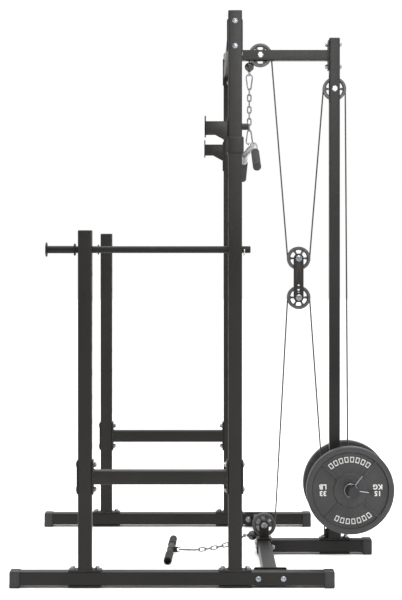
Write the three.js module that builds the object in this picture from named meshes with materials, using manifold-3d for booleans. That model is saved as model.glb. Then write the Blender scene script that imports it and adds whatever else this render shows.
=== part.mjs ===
// Power cage with a plate-loaded pulley tower behind it, as an assembly of separate pieces.
// Millimetres, +Z up, +X towards the tower, and the lifter's right-hand side frame at -Y.
// The origin is on the floor, under the middle of the whole rig.

import * as THREE from 'three';
import { mergeVertices } from 'three/addons/utils/BufferGeometryUtils.js';
import Module from 'manifold-3d';

const wasm = await Module();
wasm.setup();

// ---------------------------------------------------------------- driving dimensions

const GAP = 0.3; // left between pieces that touch
const TUBE = 50; // frame tube, square
const WALL = 2;
const CORNER = 5; // outer corner radius of the frame tube
const POST = 42; // pulley tower tube, square
const PLATE = 5; // flanges, end plates and brackets
const FLANGE = 120; // length of every flange and end plate

const HALF_LENGTH = 726.5; // from the origin to either end of the rig
const SIDE_Y = 585; // centre plane of each side frame
const RAIL_BOTTOM = 9;
const RAIL_TOP = RAIL_BOTTOM + TUBE;
const FOOT_LENGTH = 36;
const FOOT_WALL = 3;
const FOOT_COVER = 2; // plastic above the rail

const FRONT_X = -454.5; // short uprights
const REAR_X = 87.5; // tall uprights
const CROSS_X = 216.5; // rear crossmember
const TOWER_X = 499; // pulley tower
const SIDE_RAIL_END = 446.5;
const CENTRE_RAIL_END = 644.5;

const FRONT_TOP = 1290;
const REAR_TOP = 2083;
const POST_TOP = 2069;
const SIDE_RAIL_Z = 398;
const BEAM_Z = 1999; // top crossbeam and lat beam

const HOLE_PITCH = 88.9;
const HOLE_RADIUS = 15; // to the corners of the six-sided adjusting holes
const ROD_Z = 1220; // safety rods, and the datum of the adjusting holes
const LOWEST_HOLE = -8; // counted from the datum
const HIGHEST_FRONT_HOLE = 0;
const HIGHEST_REAR_HOLE = 7;
const HOOK_HOLE = 5; // the J-hooks' pin

const CABLE_RADIUS = 2.5;
const WRAP_RADIUS = 44; // cable centre line round every pulley
const PULLEY_RADIUS = 47;
const PULLEY_HALF = 11;
const AXLE_RADIUS = 5;
const AXLE_BORE = AXLE_RADIUS + 0.6; // clearance holes for the axle bolts
const VENT_RADIUS = 8; // in the middle of each end plate

const PULLEYS = {
  front_top_pulley: new THREE.Vector2(201.5, 2000),
  rear_top_pulley: new THREE.Vector2(TOWER_X, 1865),
  upper_floating_pulley: new THREE.Vector2(355.5, 1185),
  lower_floating_pulley: new THREE.Vector2(355.5, 1028),
  low_pulley: new THREE.Vector2(CROSS_X, 116),
};

const LAT_X = PULLEYS.front_top_pulley.x - WRAP_RADIUS; // the lat line hangs here
const LAT_BALL_Z = 1953;
const BALL_RADIUS = 18.5;
const ROW_BALL_X = 169.5;
const ROW_LINE_Z = PULLEYS.low_pulley.y - WRAP_RADIUS; // cable height under the low pulley
const LIFT_X = TOWER_X + WRAP_RADIUS; // the lifting cable leaves the rear pulley here

const BAR_RADIUS = 12.5;
const GRIP_RADIUS = 15.5;
const WIRE_RADIUS = 2.6; // chain links and snap hooks

const HORN_X = 553;
const HORN_Z = 263; // in the middle; the horn rises from there to both ends
const HORN_TILT = THREE.MathUtils.degToRad(4.5);
const HORN_RADIUS = 22.5;
const HORN_HALF = 250;
const HORN_WALL = 3;
const WEIGHT_RADIUS = HALF_LENGTH - HORN_X;
const WEIGHT_BORE = 25.5;
const WEIGHT_INNER = 77; // from the centre plane to the inner face of a plate
const WEIGHT_THICKNESS = 35;

// ---------------------------------------------------------------- materials

function finish(color, roughness, metalness) {
  return new THREE.MeshStandardMaterial({ color, roughness, metalness });
}

const powderCoat = finish(0x2c2c2e, 0.55, 0.3);
const blackPlastic = finish(0x262628, 0.6, 0);
const nylon = finish(0x35332f, 0.5, 0);
const foam = finish(0x2a2826, 0.9, 0);
const rubber = finish(0x1d1d1d, 0.85, 0);
const cableJacket = finish(0x141414, 0.35, 0);
const zinc = finish(0xa8adb0, 0.35, 0.9);
const chrome = finish(0xc8c9cb, 0.15, 1);
const castIron = finish(0x303032, 0.6, 0.4);

// ---------------------------------------------------------------- solids

function toManifold(geometry) {
  const plain = geometry.clone();
  plain.deleteAttribute('normal');
  plain.deleteAttribute('uv');
  const merged = mergeVertices(plain, 1e-4);
  const vertProperties = new Float32Array(merged.attributes.position.array);
  const triVerts = new Uint32Array(merged.index.array);
  return new wasm.Manifold(new wasm.Mesh({ numProp: 3, vertProperties, triVerts }));
}

function toGeometry(manifold) {
  const { vertProperties, triVerts } = manifold.getMesh();
  const geometry = new THREE.BufferGeometry();
  geometry.setAttribute('position', new THREE.BufferAttribute(vertProperties, 3));
  geometry.setIndex(new THREE.BufferAttribute(triVerts, 1));
  geometry.computeVertexNormals();
  return geometry;
}

function join(...pieces) {
  return toGeometry(pieces.map(toManifold).reduce((whole, piece) => whole.add(piece)));
}

function cut(body, ...tools) {
  return toGeometry(tools.map(toManifold).reduce((rest, tool) => rest.subtract(tool), toManifold(body)));
}

function box([x0, x1], [y0, y1], [z0, z1]) {
  const block = new THREE.BoxGeometry(x1 - x0, y1 - y0, z1 - z0);
  return block.translate((x0 + x1) / 2, (y0 + y1) / 2, (z0 + z1) / 2);
}

// Turns a geometry made along +Z so that it lies along x, y or z.
function layAlong(axis, geometry) {
  if (axis === 'x') return geometry.rotateY(Math.PI / 2);
  if (axis === 'y') return geometry.rotateX(-Math.PI / 2);
  return geometry;
}

// A round bar centred on a point.
function round(radius, length, axis, [x, y, z], sides = 16) {
  const bar = new THREE.CylinderGeometry(radius, radius, length, sides).rotateX(Math.PI / 2);
  return layAlong(axis, bar).translate(x, y, z);
}

function roundedSquare(Outline, side, radius) {
  const half = side / 2;
  const inset = half - radius;
  const outline = new Outline();
  outline.absarc(inset, inset, radius, 0, Math.PI / 2);
  outline.absarc(-inset, inset, radius, Math.PI / 2, Math.PI);
  outline.absarc(-inset, -inset, radius, Math.PI, 1.5 * Math.PI);
  outline.absarc(inset, -inset, radius, 1.5 * Math.PI, 2 * Math.PI);
  return outline;
}

// A square tube with open ends, from start to end along an axis, centred on the other two.
function squareTube(axis, start, end, { side = TUBE, wall = WALL, corner = CORNER } = {}) {
  const outline = roundedSquare(THREE.Shape, side, corner);
  outline.holes.push(roundedSquare(THREE.Path, side - 2 * wall, Math.max(corner - wall, 1)));
  const options = { depth: end - start, bevelEnabled: false, curveSegments: 2 };
  const tube = new THREE.ExtrudeGeometry(outline, options).translate(0, 0, start);
  return layAlong(axis, tube);
}

// A flat plate with rounded ends, standing in the XZ plane between two heights.
function strap(x, width, [z0, z1], [y0, y1]) {
  const half = width / 2;
  const outline = new THREE.Shape();
  outline.absarc(x, z1 - half, half, 0, Math.PI);
  outline.absarc(x, z0 + half, half, Math.PI, 2 * Math.PI);
  const plate = new THREE.ExtrudeGeometry(outline, { depth: y1 - y0, bevelEnabled: false, curveSegments: 4 });
  return plate.rotateX(Math.PI / 2).translate(0, y1, 0);
}

// A closed ring turned about Y from [radius, y] corners.
function ring(corners, segments) {
  const profile = corners.map(([radius, y]) => new THREE.Vector2(radius, y));
  return new THREE.LatheGeometry([...profile, profile[0].clone()], segments);
}

// ---------------------------------------------------------------- round stock along a route

// A curve that passes its points at equal steps of its parameter, so that a swept section
// stands exactly on each of them.
class Route extends THREE.Curve {
  constructor(points) {
    super();
    this.points = points;
  }

  getPoint(t, target = new THREE.Vector3()) {
    const place = t * (this.points.length - 1);
    const index = Math.min(Math.floor(place), this.points.length - 2);
    return target.lerpVectors(this.points[index], this.points[index + 1], place - index);
  }

  getPointAt(t, target) {
    return this.getPoint(t, target);
  }

  getTangentAt(t, target) {
    return this.getTangent(t, target);
  }
}

function sweep(points, radius, sides) {
  const outline = new THREE.Shape(
    Array.from({ length: sides }, (_, index) => {
      const angle = (2 * Math.PI * (index + 0.5)) / sides;
      return new THREE.Vector2(radius * Math.cos(angle), radius * Math.sin(angle));
    }),
  );
  return new THREE.ExtrudeGeometry(outline, { steps: points.length - 1, extrudePath: new Route(points) });
}

function inPlane(x, z) {
  return new THREE.Vector3(x, 0, z);
}

// Points of an arc in the XZ plane, between two angles in degrees.
function arc(centre, radius, from, to, steps) {
  return Array.from({ length: steps + 1 }, (_, index) => {
    const angle = THREE.MathUtils.degToRad(from + ((to - from) * index) / steps);
    return inPlane(centre.x + radius * Math.cos(angle), centre.y + radius * Math.sin(angle));
  });
}

// The cable that crosses from the right of one pulley to the left of the next leaves the first at
// this angle, in degrees, and meets the second at the opposite one.
function crossingAngle(from, to) {
  const line = to.clone().sub(from);
  const heading = THREE.MathUtils.radToDeg(line.angle());
  const lean = THREE.MathUtils.radToDeg(Math.acos((2 * WRAP_RADIUS) / line.length()));
  return { heading, lean };
}

// ---------------------------------------------------------------- frame

function footCap(openTowards) {
  const halfWidth = TUBE / 2 + FOOT_WALL;
  const shell = box([0, FOOT_LENGTH], [-halfWidth, halfWidth], [0, RAIL_TOP + FOOT_COVER]);
  const halfRoom = TUBE / 2 + GAP;
  const room = box(
    [FOOT_WALL, FOOT_LENGTH + 1],
    [-halfRoom, halfRoom],
    [RAIL_BOTTOM - GAP, RAIL_TOP + GAP],
  );
  const cap = cut(shell, room);
  return openTowards > 0 ? cap : cap.rotateZ(Math.PI);
}

function baseRail(frontEnd, rearEnd) {
  return squareTube('x', frontEnd, rearEnd).translate(0, 0, RAIL_BOTTOM + TUBE / 2);
}

// The two lengths below the rail's middle and above it that its welded end plates reach.
const CROSS_PLATE = [TUBE / 2 + 4, TUBE / 2 + 6];
const CENTRE_PLATE = [TUBE / 2 + 5, TUBE / 2 + 3];

function rearCrossmember() {
  const middleZ = RAIL_BOTTOM + TUBE / 2;
  const end = SIDE_Y - TUBE / 2 - GAP;
  const tube = squareTube('y', -(end - PLATE), end - PLATE);
  const plates = [-1, 1].map((side) => {
    const inner = side * (end - PLATE);
    const spanY = [inner, side * end].sort((a, b) => a - b);
    const plate = box([-FLANGE / 2, FLANGE / 2], spanY, [-CROSS_PLATE[0], CROSS_PLATE[1]]);
    return cut(plate, round(VENT_RADIUS, 3 * PLATE, 'y', [0, inner, 0], 8));
  });
  return join(tube, ...plates).translate(CROSS_X, 0, middleZ);
}

function centreBaseRail() {
  const start = CROSS_X + TUBE / 2 + GAP;
  const end = CENTRE_RAIL_END - GAP;
  const tube = squareTube('x', start + PLATE - 1, end);
  const plate = box([start, start + PLATE], [-FLANGE / 2, FLANGE / 2], [-CENTRE_PLATE[0], CENTRE_PLATE[1]]);
  const vent = round(VENT_RADIUS, 6 * PLATE, 'x', [start, 0, 0], 8);
  return join(cut(plate, vent), tube).translate(0, 0, RAIL_BOTTOM + TUBE / 2);
}

function upright(top, highestHole) {
  const foot = RAIL_TOP + GAP;
  const tube = squareTube('z', foot + PLATE - 1, top);
  const flange = box([-FLANGE / 2, FLANGE / 2], [-TUBE / 2, TUBE / 2], [foot, foot + PLATE]);
  const holes = [];
  for (let step = LOWEST_HOLE; step <= highestHole; step += 1) {
    holes.push(round(HOLE_RADIUS, TUBE + 10, 'x', [0, 0, ROD_Z + step * HOLE_PITCH], 6));
  }
  return cut(join(tube, flange), ...holes);
}

// A tube between two welded end plates, along an axis. Each plate has a vent hole in its middle
// and its own half width and half height.
function platedTube(axis, start, end, startPlate, endPlate = startPlate, stock = {}) {
  const tube = squareTube(axis, start + PLATE / 2, end - PLATE / 2, stock);
  const places = [
    [start, startPlate],
    [end - PLATE, endPlate],
  ];
  const plates = places.map(([low, [halfWidth, halfHeight]]) => {
    const along = [low, low + PLATE];
    const across = [-halfWidth, halfWidth];
    const upwards = [-halfHeight, halfHeight];
    const plate = axis === 'x' ? box(along, across, upwards) : box(across, along, upwards);
    const middle = low + PLATE / 2;
    const centre = axis === 'x' ? [middle, 0, 0] : [0, middle, 0];
    return cut(plate, round(VENT_RADIUS, 3 * PLATE, axis, centre, 8));
  });
  return join(tube, ...plates);
}

const SIDE_PLATE_HALF = FLANGE / 2 + 2;
const BEAM_PLATE_HALF = TUBE / 2 + 4;

function sideRail() {
  const start = FRONT_X + TUBE / 2 + GAP;
  const end = REAR_X - TUBE / 2 - GAP;
  return platedTube('x', start, end, [TUBE / 2, SIDE_PLATE_HALF]).translate(0, 0, SIDE_RAIL_Z);
}

function topCrossbeam() {
  const end = SIDE_Y - TUBE / 2 - GAP;
  return platedTube('y', -end, end, [BEAM_PLATE_HALF, FLANGE / 2]).translate(REAR_X, 0, BEAM_Z);
}

// ---------------------------------------------------------------- pulley tower

const POST_STOCK = { side: POST, wall: WALL, corner: 4 };
const FOOT_SLEEVE_TOP = 150;
const FOOT_SLEEVE_WALL = 3.5;
const BUMPER_TOP = 165;
const ANCHOR_X = 464;
const ANCHOR_Z = 102;
const ANCHOR_REACH = 7; // of the tab in front of its eye
const SLOT_HALF_WIDTH = PULLEY_HALF + 2.5;
const SLOT_HALF_LENGTH = PULLEY_RADIUS + 8;

function towerFoot() {
  const bottom = RAIL_TOP + GAP;
  const sleeve = squareTube('z', bottom + PLATE - 1, FOOT_SLEEVE_TOP, { wall: FOOT_SLEEVE_WALL });
  const flange = box([-FLANGE / 2, FLANGE / 2], [-TUBE / 2, TUBE / 2], [bottom, bottom + PLATE]);
  const tabX = ANCHOR_X - TOWER_X;
  const upwards = [bottom + PLATE - 1, ANCHOR_Z + ANCHOR_REACH + 1];
  const tab = box([tabX - ANCHOR_REACH, -TUBE / 2 + 1], [-3, 3], upwards);
  const eye = round(4, 10, 'y', [tabX, 0, ANCHOR_Z], 10);
  return cut(join(sleeve, flange, tab), eye);
}

function towerPost() {
  const bottom = RAIL_TOP + GAP + PLATE + GAP;
  const pulleyZ = PULLEYS.rear_top_pulley.y;
  const slot = box(
    [-POST, POST],
    [-SLOT_HALF_WIDTH, SLOT_HALF_WIDTH],
    [pulleyZ - SLOT_HALF_LENGTH, pulleyZ + SLOT_HALF_LENGTH],
  );
  const axle = round(AXLE_BORE, TUBE, 'y', [0, 0, pulleyZ]);
  return cut(squareTube('z', bottom, POST_TOP, POST_STOCK), slot, axle);
}

function latBeam() {
  const start = REAR_X + TUBE / 2 + GAP;
  const end = TOWER_X - POST / 2 - GAP;
  const pulleyX = PULLEYS.front_top_pulley.x;
  const slot = box(
    [pulleyX - SLOT_HALF_LENGTH, pulleyX + SLOT_HALF_LENGTH],
    [-SLOT_HALF_WIDTH, SLOT_HALF_WIDTH],
    [-POST, POST],
  );
  const axle = round(AXLE_BORE, TUBE, 'y', [pulleyX, 0, PULLEYS.front_top_pulley.y - BEAM_Z]);
  const lying = [FLANGE / 2, TUBE / 2]; // bolted to the crossbeam beside the lat beam
  const standing = [TUBE / 2, FLANGE / 2]; // bolted to the post above and below it
  const beam = platedTube('x', start, end, lying, standing, POST_STOCK);
  return cut(beam, slot, axle).translate(0, 0, BEAM_Z);
}

// A rubber block round the post, standing on the foot sleeve.
function carriageBumper() {
  const side = TUBE - 1;
  const bore = POST + 1;
  const stock = { side, wall: (side - bore) / 2 };
  return squareTube('z', FOOT_SLEEVE_TOP + GAP, BUMPER_TOP, stock);
}

const LOW_BRACKET_INNER = 14;
const STRAP_WIDTH = 38; // of the low bracket's cheeks and the floating straps

function lowPulleyBracket() {
  const bottom = RAIL_TOP + GAP;
  const outer = LOW_BRACKET_INNER + PLATE;
  const base = box([-TUBE / 2, TUBE / 2], [-TUBE / 2, TUBE / 2], [bottom, bottom + PLATE]);
  const cheeks = [-outer, LOW_BRACKET_INNER].map((y) => {
    const upwards = [bottom - STRAP_WIDTH / 2, PULLEYS.low_pulley.y + STRAP_WIDTH / 2];
    return strap(0, STRAP_WIDTH, upwards, [y, y + PLATE]);
  });
  const below = box([-POST, POST], [-TUBE, TUBE], [0, bottom]);
  const axle = round(AXLE_BORE, TUBE, 'y', [0, 0, PULLEYS.low_pulley.y]);
  return cut(join(base, ...cheeks), below, axle);
}

// ---------------------------------------------------------------- pulleys and axles

const SPOKE_SLOTS = 6;
const SLOT_INNER = 20;
const SLOT_OUTER = 33;
const SLOT_ANGLE = THREE.MathUtils.degToRad(40);
const PULLEY_BORE = AXLE_RADIUS + 0.7;
const HUB_RADIUS = 11;
const HUB_HALF = PULLEY_HALF + 2;
const WEB_RADIUS = 37;
const WEB_HALF = 4;
const GROOVE_RADIUS = WRAP_RADIUS - CABLE_RADIUS - 1.1; // to the bottom of the groove

function spokeSlot(index) {
  const start = (index * 2 * Math.PI) / SPOKE_SLOTS;
  const outline = new THREE.Shape();
  outline.absarc(0, 0, SLOT_OUTER, start, start + SLOT_ANGLE, false);
  outline.absarc(0, 0, SLOT_INNER, start + SLOT_ANGLE, start, true);
  const depth = 4 * PULLEY_HALF;
  const tool = new THREE.ExtrudeGeometry(outline, { depth, bevelEnabled: false, curveSegments: 2 });
  return tool.rotateX(Math.PI / 2).translate(0, depth / 2, 0);
}

function pulley() {
  const wheel = ring(
    [
      [PULLEY_BORE, -HUB_HALF],
      [HUB_RADIUS, -HUB_HALF],
      [HUB_RADIUS, -WEB_HALF],
      [WEB_RADIUS, -WEB_HALF],
      [PULLEY_RADIUS, -PULLEY_HALF],
      [GROOVE_RADIUS, 0],
      [PULLEY_RADIUS, PULLEY_HALF],
      [WEB_RADIUS, WEB_HALF],
      [HUB_RADIUS, WEB_HALF],
      [HUB_RADIUS, HUB_HALF],
      [PULLEY_BORE, HUB_HALF],
    ],
    18,
  );
  return cut(wheel, ...Array.from({ length: SPOKE_SLOTS }, (_, index) => spokeSlot(index)));
}

const HEAD_RADIUS = 10; // to the corners of the axle bolts' heads and nuts
const HEAD_HEIGHT = 7;
const NUT_HEIGHT = 8;

// A bolt along Y with its hexagon head outside -half and its nut outside +half.
function axleBolt(half) {
  const shank = round(AXLE_RADIUS, 2 * half + HEAD_HEIGHT + 3, 'y', [0, 0, 0], 10);
  const head = round(HEAD_RADIUS, HEAD_HEIGHT, 'y', [0, -half - HEAD_HEIGHT / 2 - GAP, 0], 6);
  const nut = round(HEAD_RADIUS, NUT_HEIGHT, 'y', [0, half + NUT_HEIGHT / 2 + GAP, 0], 6);
  return join(shank, head, nut);
}

const STRAP_INNER = 14;
const STRAP_THICKNESS = 4;
const STRAP_ADJUSTERS = [17, 32, 47]; // spare holes above the lower axle

function floatingStrap(side) {
  const upper = PULLEYS.upper_floating_pulley;
  const lower = PULLEYS.lower_floating_pulley;
  const outer = STRAP_INNER + STRAP_THICKNESS;
  const spanY = [side * STRAP_INNER, side * outer].sort((a, b) => a - b);
  const upwards = [lower.y - STRAP_WIDTH / 2, upper.y + STRAP_WIDTH / 2];
  const plate = strap(upper.x, STRAP_WIDTH, upwards, spanY);
  const heights = [upper.y, lower.y, ...STRAP_ADJUSTERS.map((rise) => lower.y + rise)];
  const holes = heights.map((z) => round(AXLE_BORE, TUBE, 'y', [upper.x, 0, z], 8));
  return cut(plate, ...holes);
}

// ---------------------------------------------------------------- cables and their ball stops

// The top cable crosses the floating pulley between the two top pulleys.
function topCable() {
  const front = PULLEYS.front_top_pulley;
  const floating = PULLEYS.upper_floating_pulley;
  const rear = PULLEYS.rear_top_pulley;
  const down = crossingAngle(front, floating);
  const up = crossingAngle(floating, rear);
  return sweep(
    [
      ...arc(front, WRAP_RADIUS, 180, down.heading + down.lean - 360, 10),
      ...arc(floating, WRAP_RADIUS, down.heading + down.lean - 180, up.heading + 360 - up.lean, 10),
      ...arc(rear, WRAP_RADIUS, up.heading + 180 - up.lean, 0, 10),
    ],
    CABLE_RADIUS,
    8,
  );
}

const LOW_ANCHOR = new THREE.Vector2(ANCHOR_X, ANCHOR_Z + 2 * ANCHOR_REACH);
const RUN_SHORT = 1; // a straight run stops this far short of its pulley's centre line

// The low cable rises from under the low pulley, over the floating one, down to the tower's foot.
function lowCable() {
  const low = PULLEYS.low_pulley;
  const floating = PULLEYS.lower_floating_pulley;
  const up = crossingAngle(low, floating);
  const toAnchor = LOW_ANCHOR.clone().sub(floating);
  const heading = THREE.MathUtils.radToDeg(toAnchor.angle()) - 360;
  const lean = THREE.MathUtils.radToDeg(Math.acos(WRAP_RADIUS / toAnchor.length()));
  return sweep(
    [
      ...arc(low, WRAP_RADIUS, 270, 360 + up.heading - up.lean, 6),
      ...arc(floating, WRAP_RADIUS, up.heading + 180 - up.lean, heading + lean, 10),
      inPlane(LOW_ANCHOR.x, LOW_ANCHOR.y),
    ],
    CABLE_RADIUS,
    8,
  );
}

function uprightRun(x, bottom, top) {
  return round(CABLE_RADIUS, top - bottom, 'z', [x, 0, (top + bottom) / 2], 8);
}

function latCableRun() {
  const top = PULLEYS.front_top_pulley.y - RUN_SHORT;
  return uprightRun(LAT_X, LAT_BALL_Z + BALL_RADIUS + GAP, top);
}

const EYE_TOP = 342;

// Leaves the rear pulley upright and leans out a little to the eye over the horn.
function liftCableRun() {
  const top = inPlane(LIFT_X, PULLEYS.rear_top_pulley.y - RUN_SHORT);
  return sweep([top, inPlane(HORN_X, EYE_TOP + GAP)], CABLE_RADIUS, 8);
}

function rowCableRun() {
  const start = ROW_BALL_X + BALL_RADIUS + GAP;
  const end = PULLEYS.low_pulley.x - RUN_SHORT;
  return round(CABLE_RADIUS, end - start, 'x', [(start + end) / 2, 0, ROW_LINE_Z], 8);
}

const BALL_EYE = 30.6; // from the ball's centre to its eye
const BALL_EYE_RADIUS = 4.5;

// A ball on the cable's end, with a small eye plate under it.
function ballStop() {
  const ball = new THREE.SphereGeometry(BALL_RADIUS, 12, 8);
  const tab = box([-3, 3], [-8, 8], [-BALL_EYE - 8, -BALL_RADIUS + 4]);
  return cut(join(ball, tab), round(BALL_EYE_RADIUS, 20, 'x', [0, 0, -BALL_EYE], 8));
}

// ---------------------------------------------------------------- chains and snap hooks

const LINK_LENGTH = 34;
const LINK_WIDTH = 19;
const HOOK_LENGTH = 66;
const HOOK_WIDTH = 30;
const BITE = 4.4; // between the wires of two loops that hang on each other, so that they join

// A closed loop of wire, rounded at both ends, hanging down from its top in the XZ plane.
function wireLoop(length, topWidth, bottomWidth) {
  const topR = topWidth / 2 - WIRE_RADIUS;
  const bottomR = bottomWidth / 2 - WIRE_RADIUS;
  const over = arc(new THREE.Vector2(0, -topR - WIRE_RADIUS), topR, 0, 180, 3);
  const under = arc(new THREE.Vector2(0, bottomR + WIRE_RADIUS - length), bottomR, 180, 360, 3);
  const seam = new THREE.Vector3().lerpVectors(under.at(-1), over[0], 0.5);
  return sweep([seam, ...over, ...under, seam.clone()], WIRE_RADIUS, 4);
}

// How far below the top of one loop the top of the next one hangs.
function drop(length) {
  return length - 2 * WIRE_RADIUS - BITE;
}

// Joins loops of wire, each turned to hang towards a direction and rolled about it.
function hangLoops(loops) {
  return join(
    ...loops.map(({ shape, at, towards, roll }) => {
      const geometry = shape.clone().rotateZ(roll);
      const turn = new THREE.Quaternion().setFromUnitVectors(DOWN, towards);
      return geometry.applyQuaternion(turn).translate(at.x, at.y, at.z);
    }),
  );
}

const DOWN = new THREE.Vector3(0, 0, -1);
const QUARTER = Math.PI / 2;
const LAT_LINKS = 7;
const LAT_BAR_Z = 1618;
const LAT_EYE = 24; // above the bar

function latChain() {
  const hook = wireLoop(HOOK_LENGTH, HOOK_WIDTH, LINK_WIDTH);
  const link = wireLoop(LINK_LENGTH, LINK_WIDTH, LINK_WIDTH);
  let z = LAT_BALL_Z - BALL_EYE + WIRE_RADIUS;
  const loops = [{ shape: hook, at: inPlane(LAT_X, z), towards: DOWN, roll: 0 }];
  z -= drop(HOOK_LENGTH);
  for (let index = 0; index < LAT_LINKS; index += 1) {
    loops.push({ shape: link, at: inPlane(LAT_X, z), towards: DOWN, roll: index % 2 ? 0 : QUARTER });
    z -= drop(LINK_LENGTH);
  }
  const lastLength = z - (LAT_BAR_Z + LAT_EYE) + WIRE_RADIUS;
  const lastHook = wireLoop(lastLength, LINK_WIDTH, HOOK_WIDTH);
  loops.push({ shape: lastHook, at: inPlane(LAT_X, z), towards: DOWN, roll: 0 });
  return hangLoops(loops);
}

const ROW_LINKS = 9;
const ROW_BAR_X = -158.5;
const ROW_BAR_Z = GRIP_RADIUS + 0.2;
const ROW_EYE = 34; // in front of the bar
const ROW_HOOK_WIDTHS = [30, 20]; // at the chain and at the bar
const ROW_HOOK_ROLL = 0.8 * QUARTER; // lies partly turned over
const DROOP = 240; // how far along its route the chain reaches its lowest line
const STEEP = 0.62; // forward travel for each unit of route where the chain leaves the ball
const FLOOR_LINE = 13; // height of that line
const ROUTE_STEP = 0.25;

// The low chain droops from the ball stop towards the bar on the floor.
function rowChainPoint(along) {
  const startX = ROW_BALL_X - BALL_EYE;
  const fall = Math.min(along / DROOP, 1);
  const z = FLOOR_LINE + (ROW_LINE_Z - FLOOR_LINE) * (1 - fall) ** 2;
  return inPlane(startX - along * (STEEP + (1 - STEEP) * fall), z);
}

function rowChain() {
  const link = wireLoop(LINK_LENGTH, LINK_WIDTH, LINK_WIDTH);
  const loops = [];
  let at = rowChainPoint(0);
  let along = 0;
  for (let index = 0; index < ROW_LINKS; index += 1) {
    let next = at;
    while (next.distanceTo(at) < drop(LINK_LENGTH)) {
      along += ROUTE_STEP;
      next = rowChainPoint(along);
    }
    const towards = next.clone().sub(at).normalize();
    const top = at.clone().addScaledVector(towards, -WIRE_RADIUS);
    loops.push({ shape: link, at: top, towards, roll: index % 2 ? 0 : QUARTER });
    at = next;
  }
  const eye = inPlane(ROW_BAR_X + ROW_EYE, ROW_BAR_Z);
  const towards = eye.clone().sub(at).normalize();
  const hook = wireLoop(eye.distanceTo(at) + 2 * WIRE_RADIUS, ...ROW_HOOK_WIDTHS);
  loops.push({ shape: hook, at: at.addScaledVector(towards, -WIRE_RADIUS), towards, roll: ROW_HOOK_ROLL });
  return hangLoops(loops);
}

// ---------------------------------------------------------------- bars and grips

const LAT_STRAIGHT = 300;
const LAT_END_Y = 465;
const LAT_END_DROP = 93;
const LAT_BEND_HALF = 20; // the bend reaches this far to both sides of the straight part's end
const LAT_BEND_DROP = 0.12 * LAT_END_DROP; // already reached where the bend ends
const LAT_YAW = THREE.MathUtils.degToRad(1.75);
const LAT_GRIP_LENGTH = 130;
const EYE_TAB = { halfThickness: 2.5, halfWidth: 11, eyeRadius: 8, beyondEye: 11 };

function latBar() {
  const bend = [0, 0.35, 0.75, 1].map((share) => {
    const along = LAT_STRAIGHT + LAT_BEND_HALF * (2 * share - 1);
    return [along, -LAT_BEND_DROP * share * share];
  });
  const end = [LAT_END_Y, -LAT_END_DROP];
  const half = [...bend, end].map(([y, z]) => new THREE.Vector3(0, y, z));
  const mirrored = half.map(({ y, z }) => new THREE.Vector3(0, -y, z)).reverse();
  const bar = sweep([...mirrored, ...half], BAR_RADIUS, 12);
  const { halfThickness, halfWidth, eyeRadius, beyondEye } = EYE_TAB;
  const across = [-halfWidth, halfWidth];
  const tab = box([-halfThickness, halfThickness], across, [0, LAT_EYE + beyondEye]);
  const eye = round(eyeRadius, 20, 'x', [0, 0, LAT_EYE], 10);
  return cut(join(bar, tab), eye);
}

const GRIP_CLEARANCE = 0.8; // clears the corners of the many-sided bars

// A foam sleeve round the end of a bar, from its inner end at the origin out along +Y.
function foamGrip(length) {
  const bore = BAR_RADIUS + GRIP_CLEARANCE;
  return ring(
    [
      [bore, 0],
      [GRIP_RADIUS, 0],
      [GRIP_RADIUS, length],
      [bore, length],
    ],
    14,
  );
}

const ROW_BAR_HALF = 217;
const ROW_GRIP_LENGTH = 130;
const ROW_BAR_YAW = THREE.MathUtils.degToRad(-1.85);
const GRIP_OVERHANG = 4; // of the foam past the bar's end

function rowBar() {
  const half = ROW_BAR_HALF - GRIP_OVERHANG;
  const bar = round(BAR_RADIUS, 2 * half, 'y', [0, 0, 0], 14);
  const { halfThickness, halfWidth, eyeRadius, beyondEye } = EYE_TAB;
  const upwards = [-halfWidth, halfWidth];
  const tab = box([0, ROW_EYE + beyondEye], [-halfThickness, halfThickness], upwards);
  const eye = round(eyeRadius, 20, 'y', [ROW_EYE, 0, 0], 10);
  return cut(join(bar, tab), eye);
}

// ---------------------------------------------------------------- carriage and weights

const CARRIAGE_BOTTOM = BUMPER_TOP + GAP;
const CARRIAGE_TOP = 335;
const STOP_INNER = 68;
const STOP_RADIUS = 46;
const SLIDER_WALL = 3; // the sleeve and its plastic liner together
const BOSS_DROP = 30; // of the horn's boss below the horn's middle
const LIFT_EYE_DROP = 9; // of the lifting eye below the tab's top

// Half of a round bar along the horn, from its middle out to one side.
function hornHalf(side, radius, outer, sides) {
  const inner = -2 * HORN_WALL; // both halves run into each other
  const bar = round(radius, outer - inner, 'y', [0, (side * (inner + outer)) / 2, 0], sides);
  return bar.rotateX(side * HORN_TILT).translate(HORN_X - TOWER_X, 0, HORN_Z);
}

function carriage() {
  const sleeve = squareTube('z', CARRIAGE_BOTTOM, CARRIAGE_TOP, { wall: SLIDER_WALL });
  const hornX = HORN_X - TOWER_X;
  const bossZ = [HORN_Z - BOSS_DROP, HORN_Z + HORN_RADIUS];
  const boss = box([TUBE / 2 - 1, hornX], [-TUBE / 2, TUBE / 2], bossZ);
  const shafts = [-1, 1].map((side) => hornHalf(side, HORN_RADIUS, HORN_HALF, 20));
  const bores = [-1, 1].map((side) => hornHalf(side, HORN_RADIUS - HORN_WALL, HORN_HALF + 5, 12));
  const stopZ = HORN_Z + STOP_INNER * Math.tan(HORN_TILT);
  const stops = [-STOP_INNER - PLATE, STOP_INNER].map((y) => {
    return round(STOP_RADIUS, PLATE, 'y', [hornX, y + PLATE / 2, stopZ], 16);
  });
  const tab = box([TUBE / 2 - 1, hornX + 8], [-4, 4], [HORN_Z, EYE_TOP]);
  const eye = round(4.5, 20, 'y', [hornX, 0, EYE_TOP - LIFT_EYE_DROP], 10);
  return cut(join(sleeve, boss, ...shafts, ...stops, tab), ...bores, eye);
}

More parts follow.
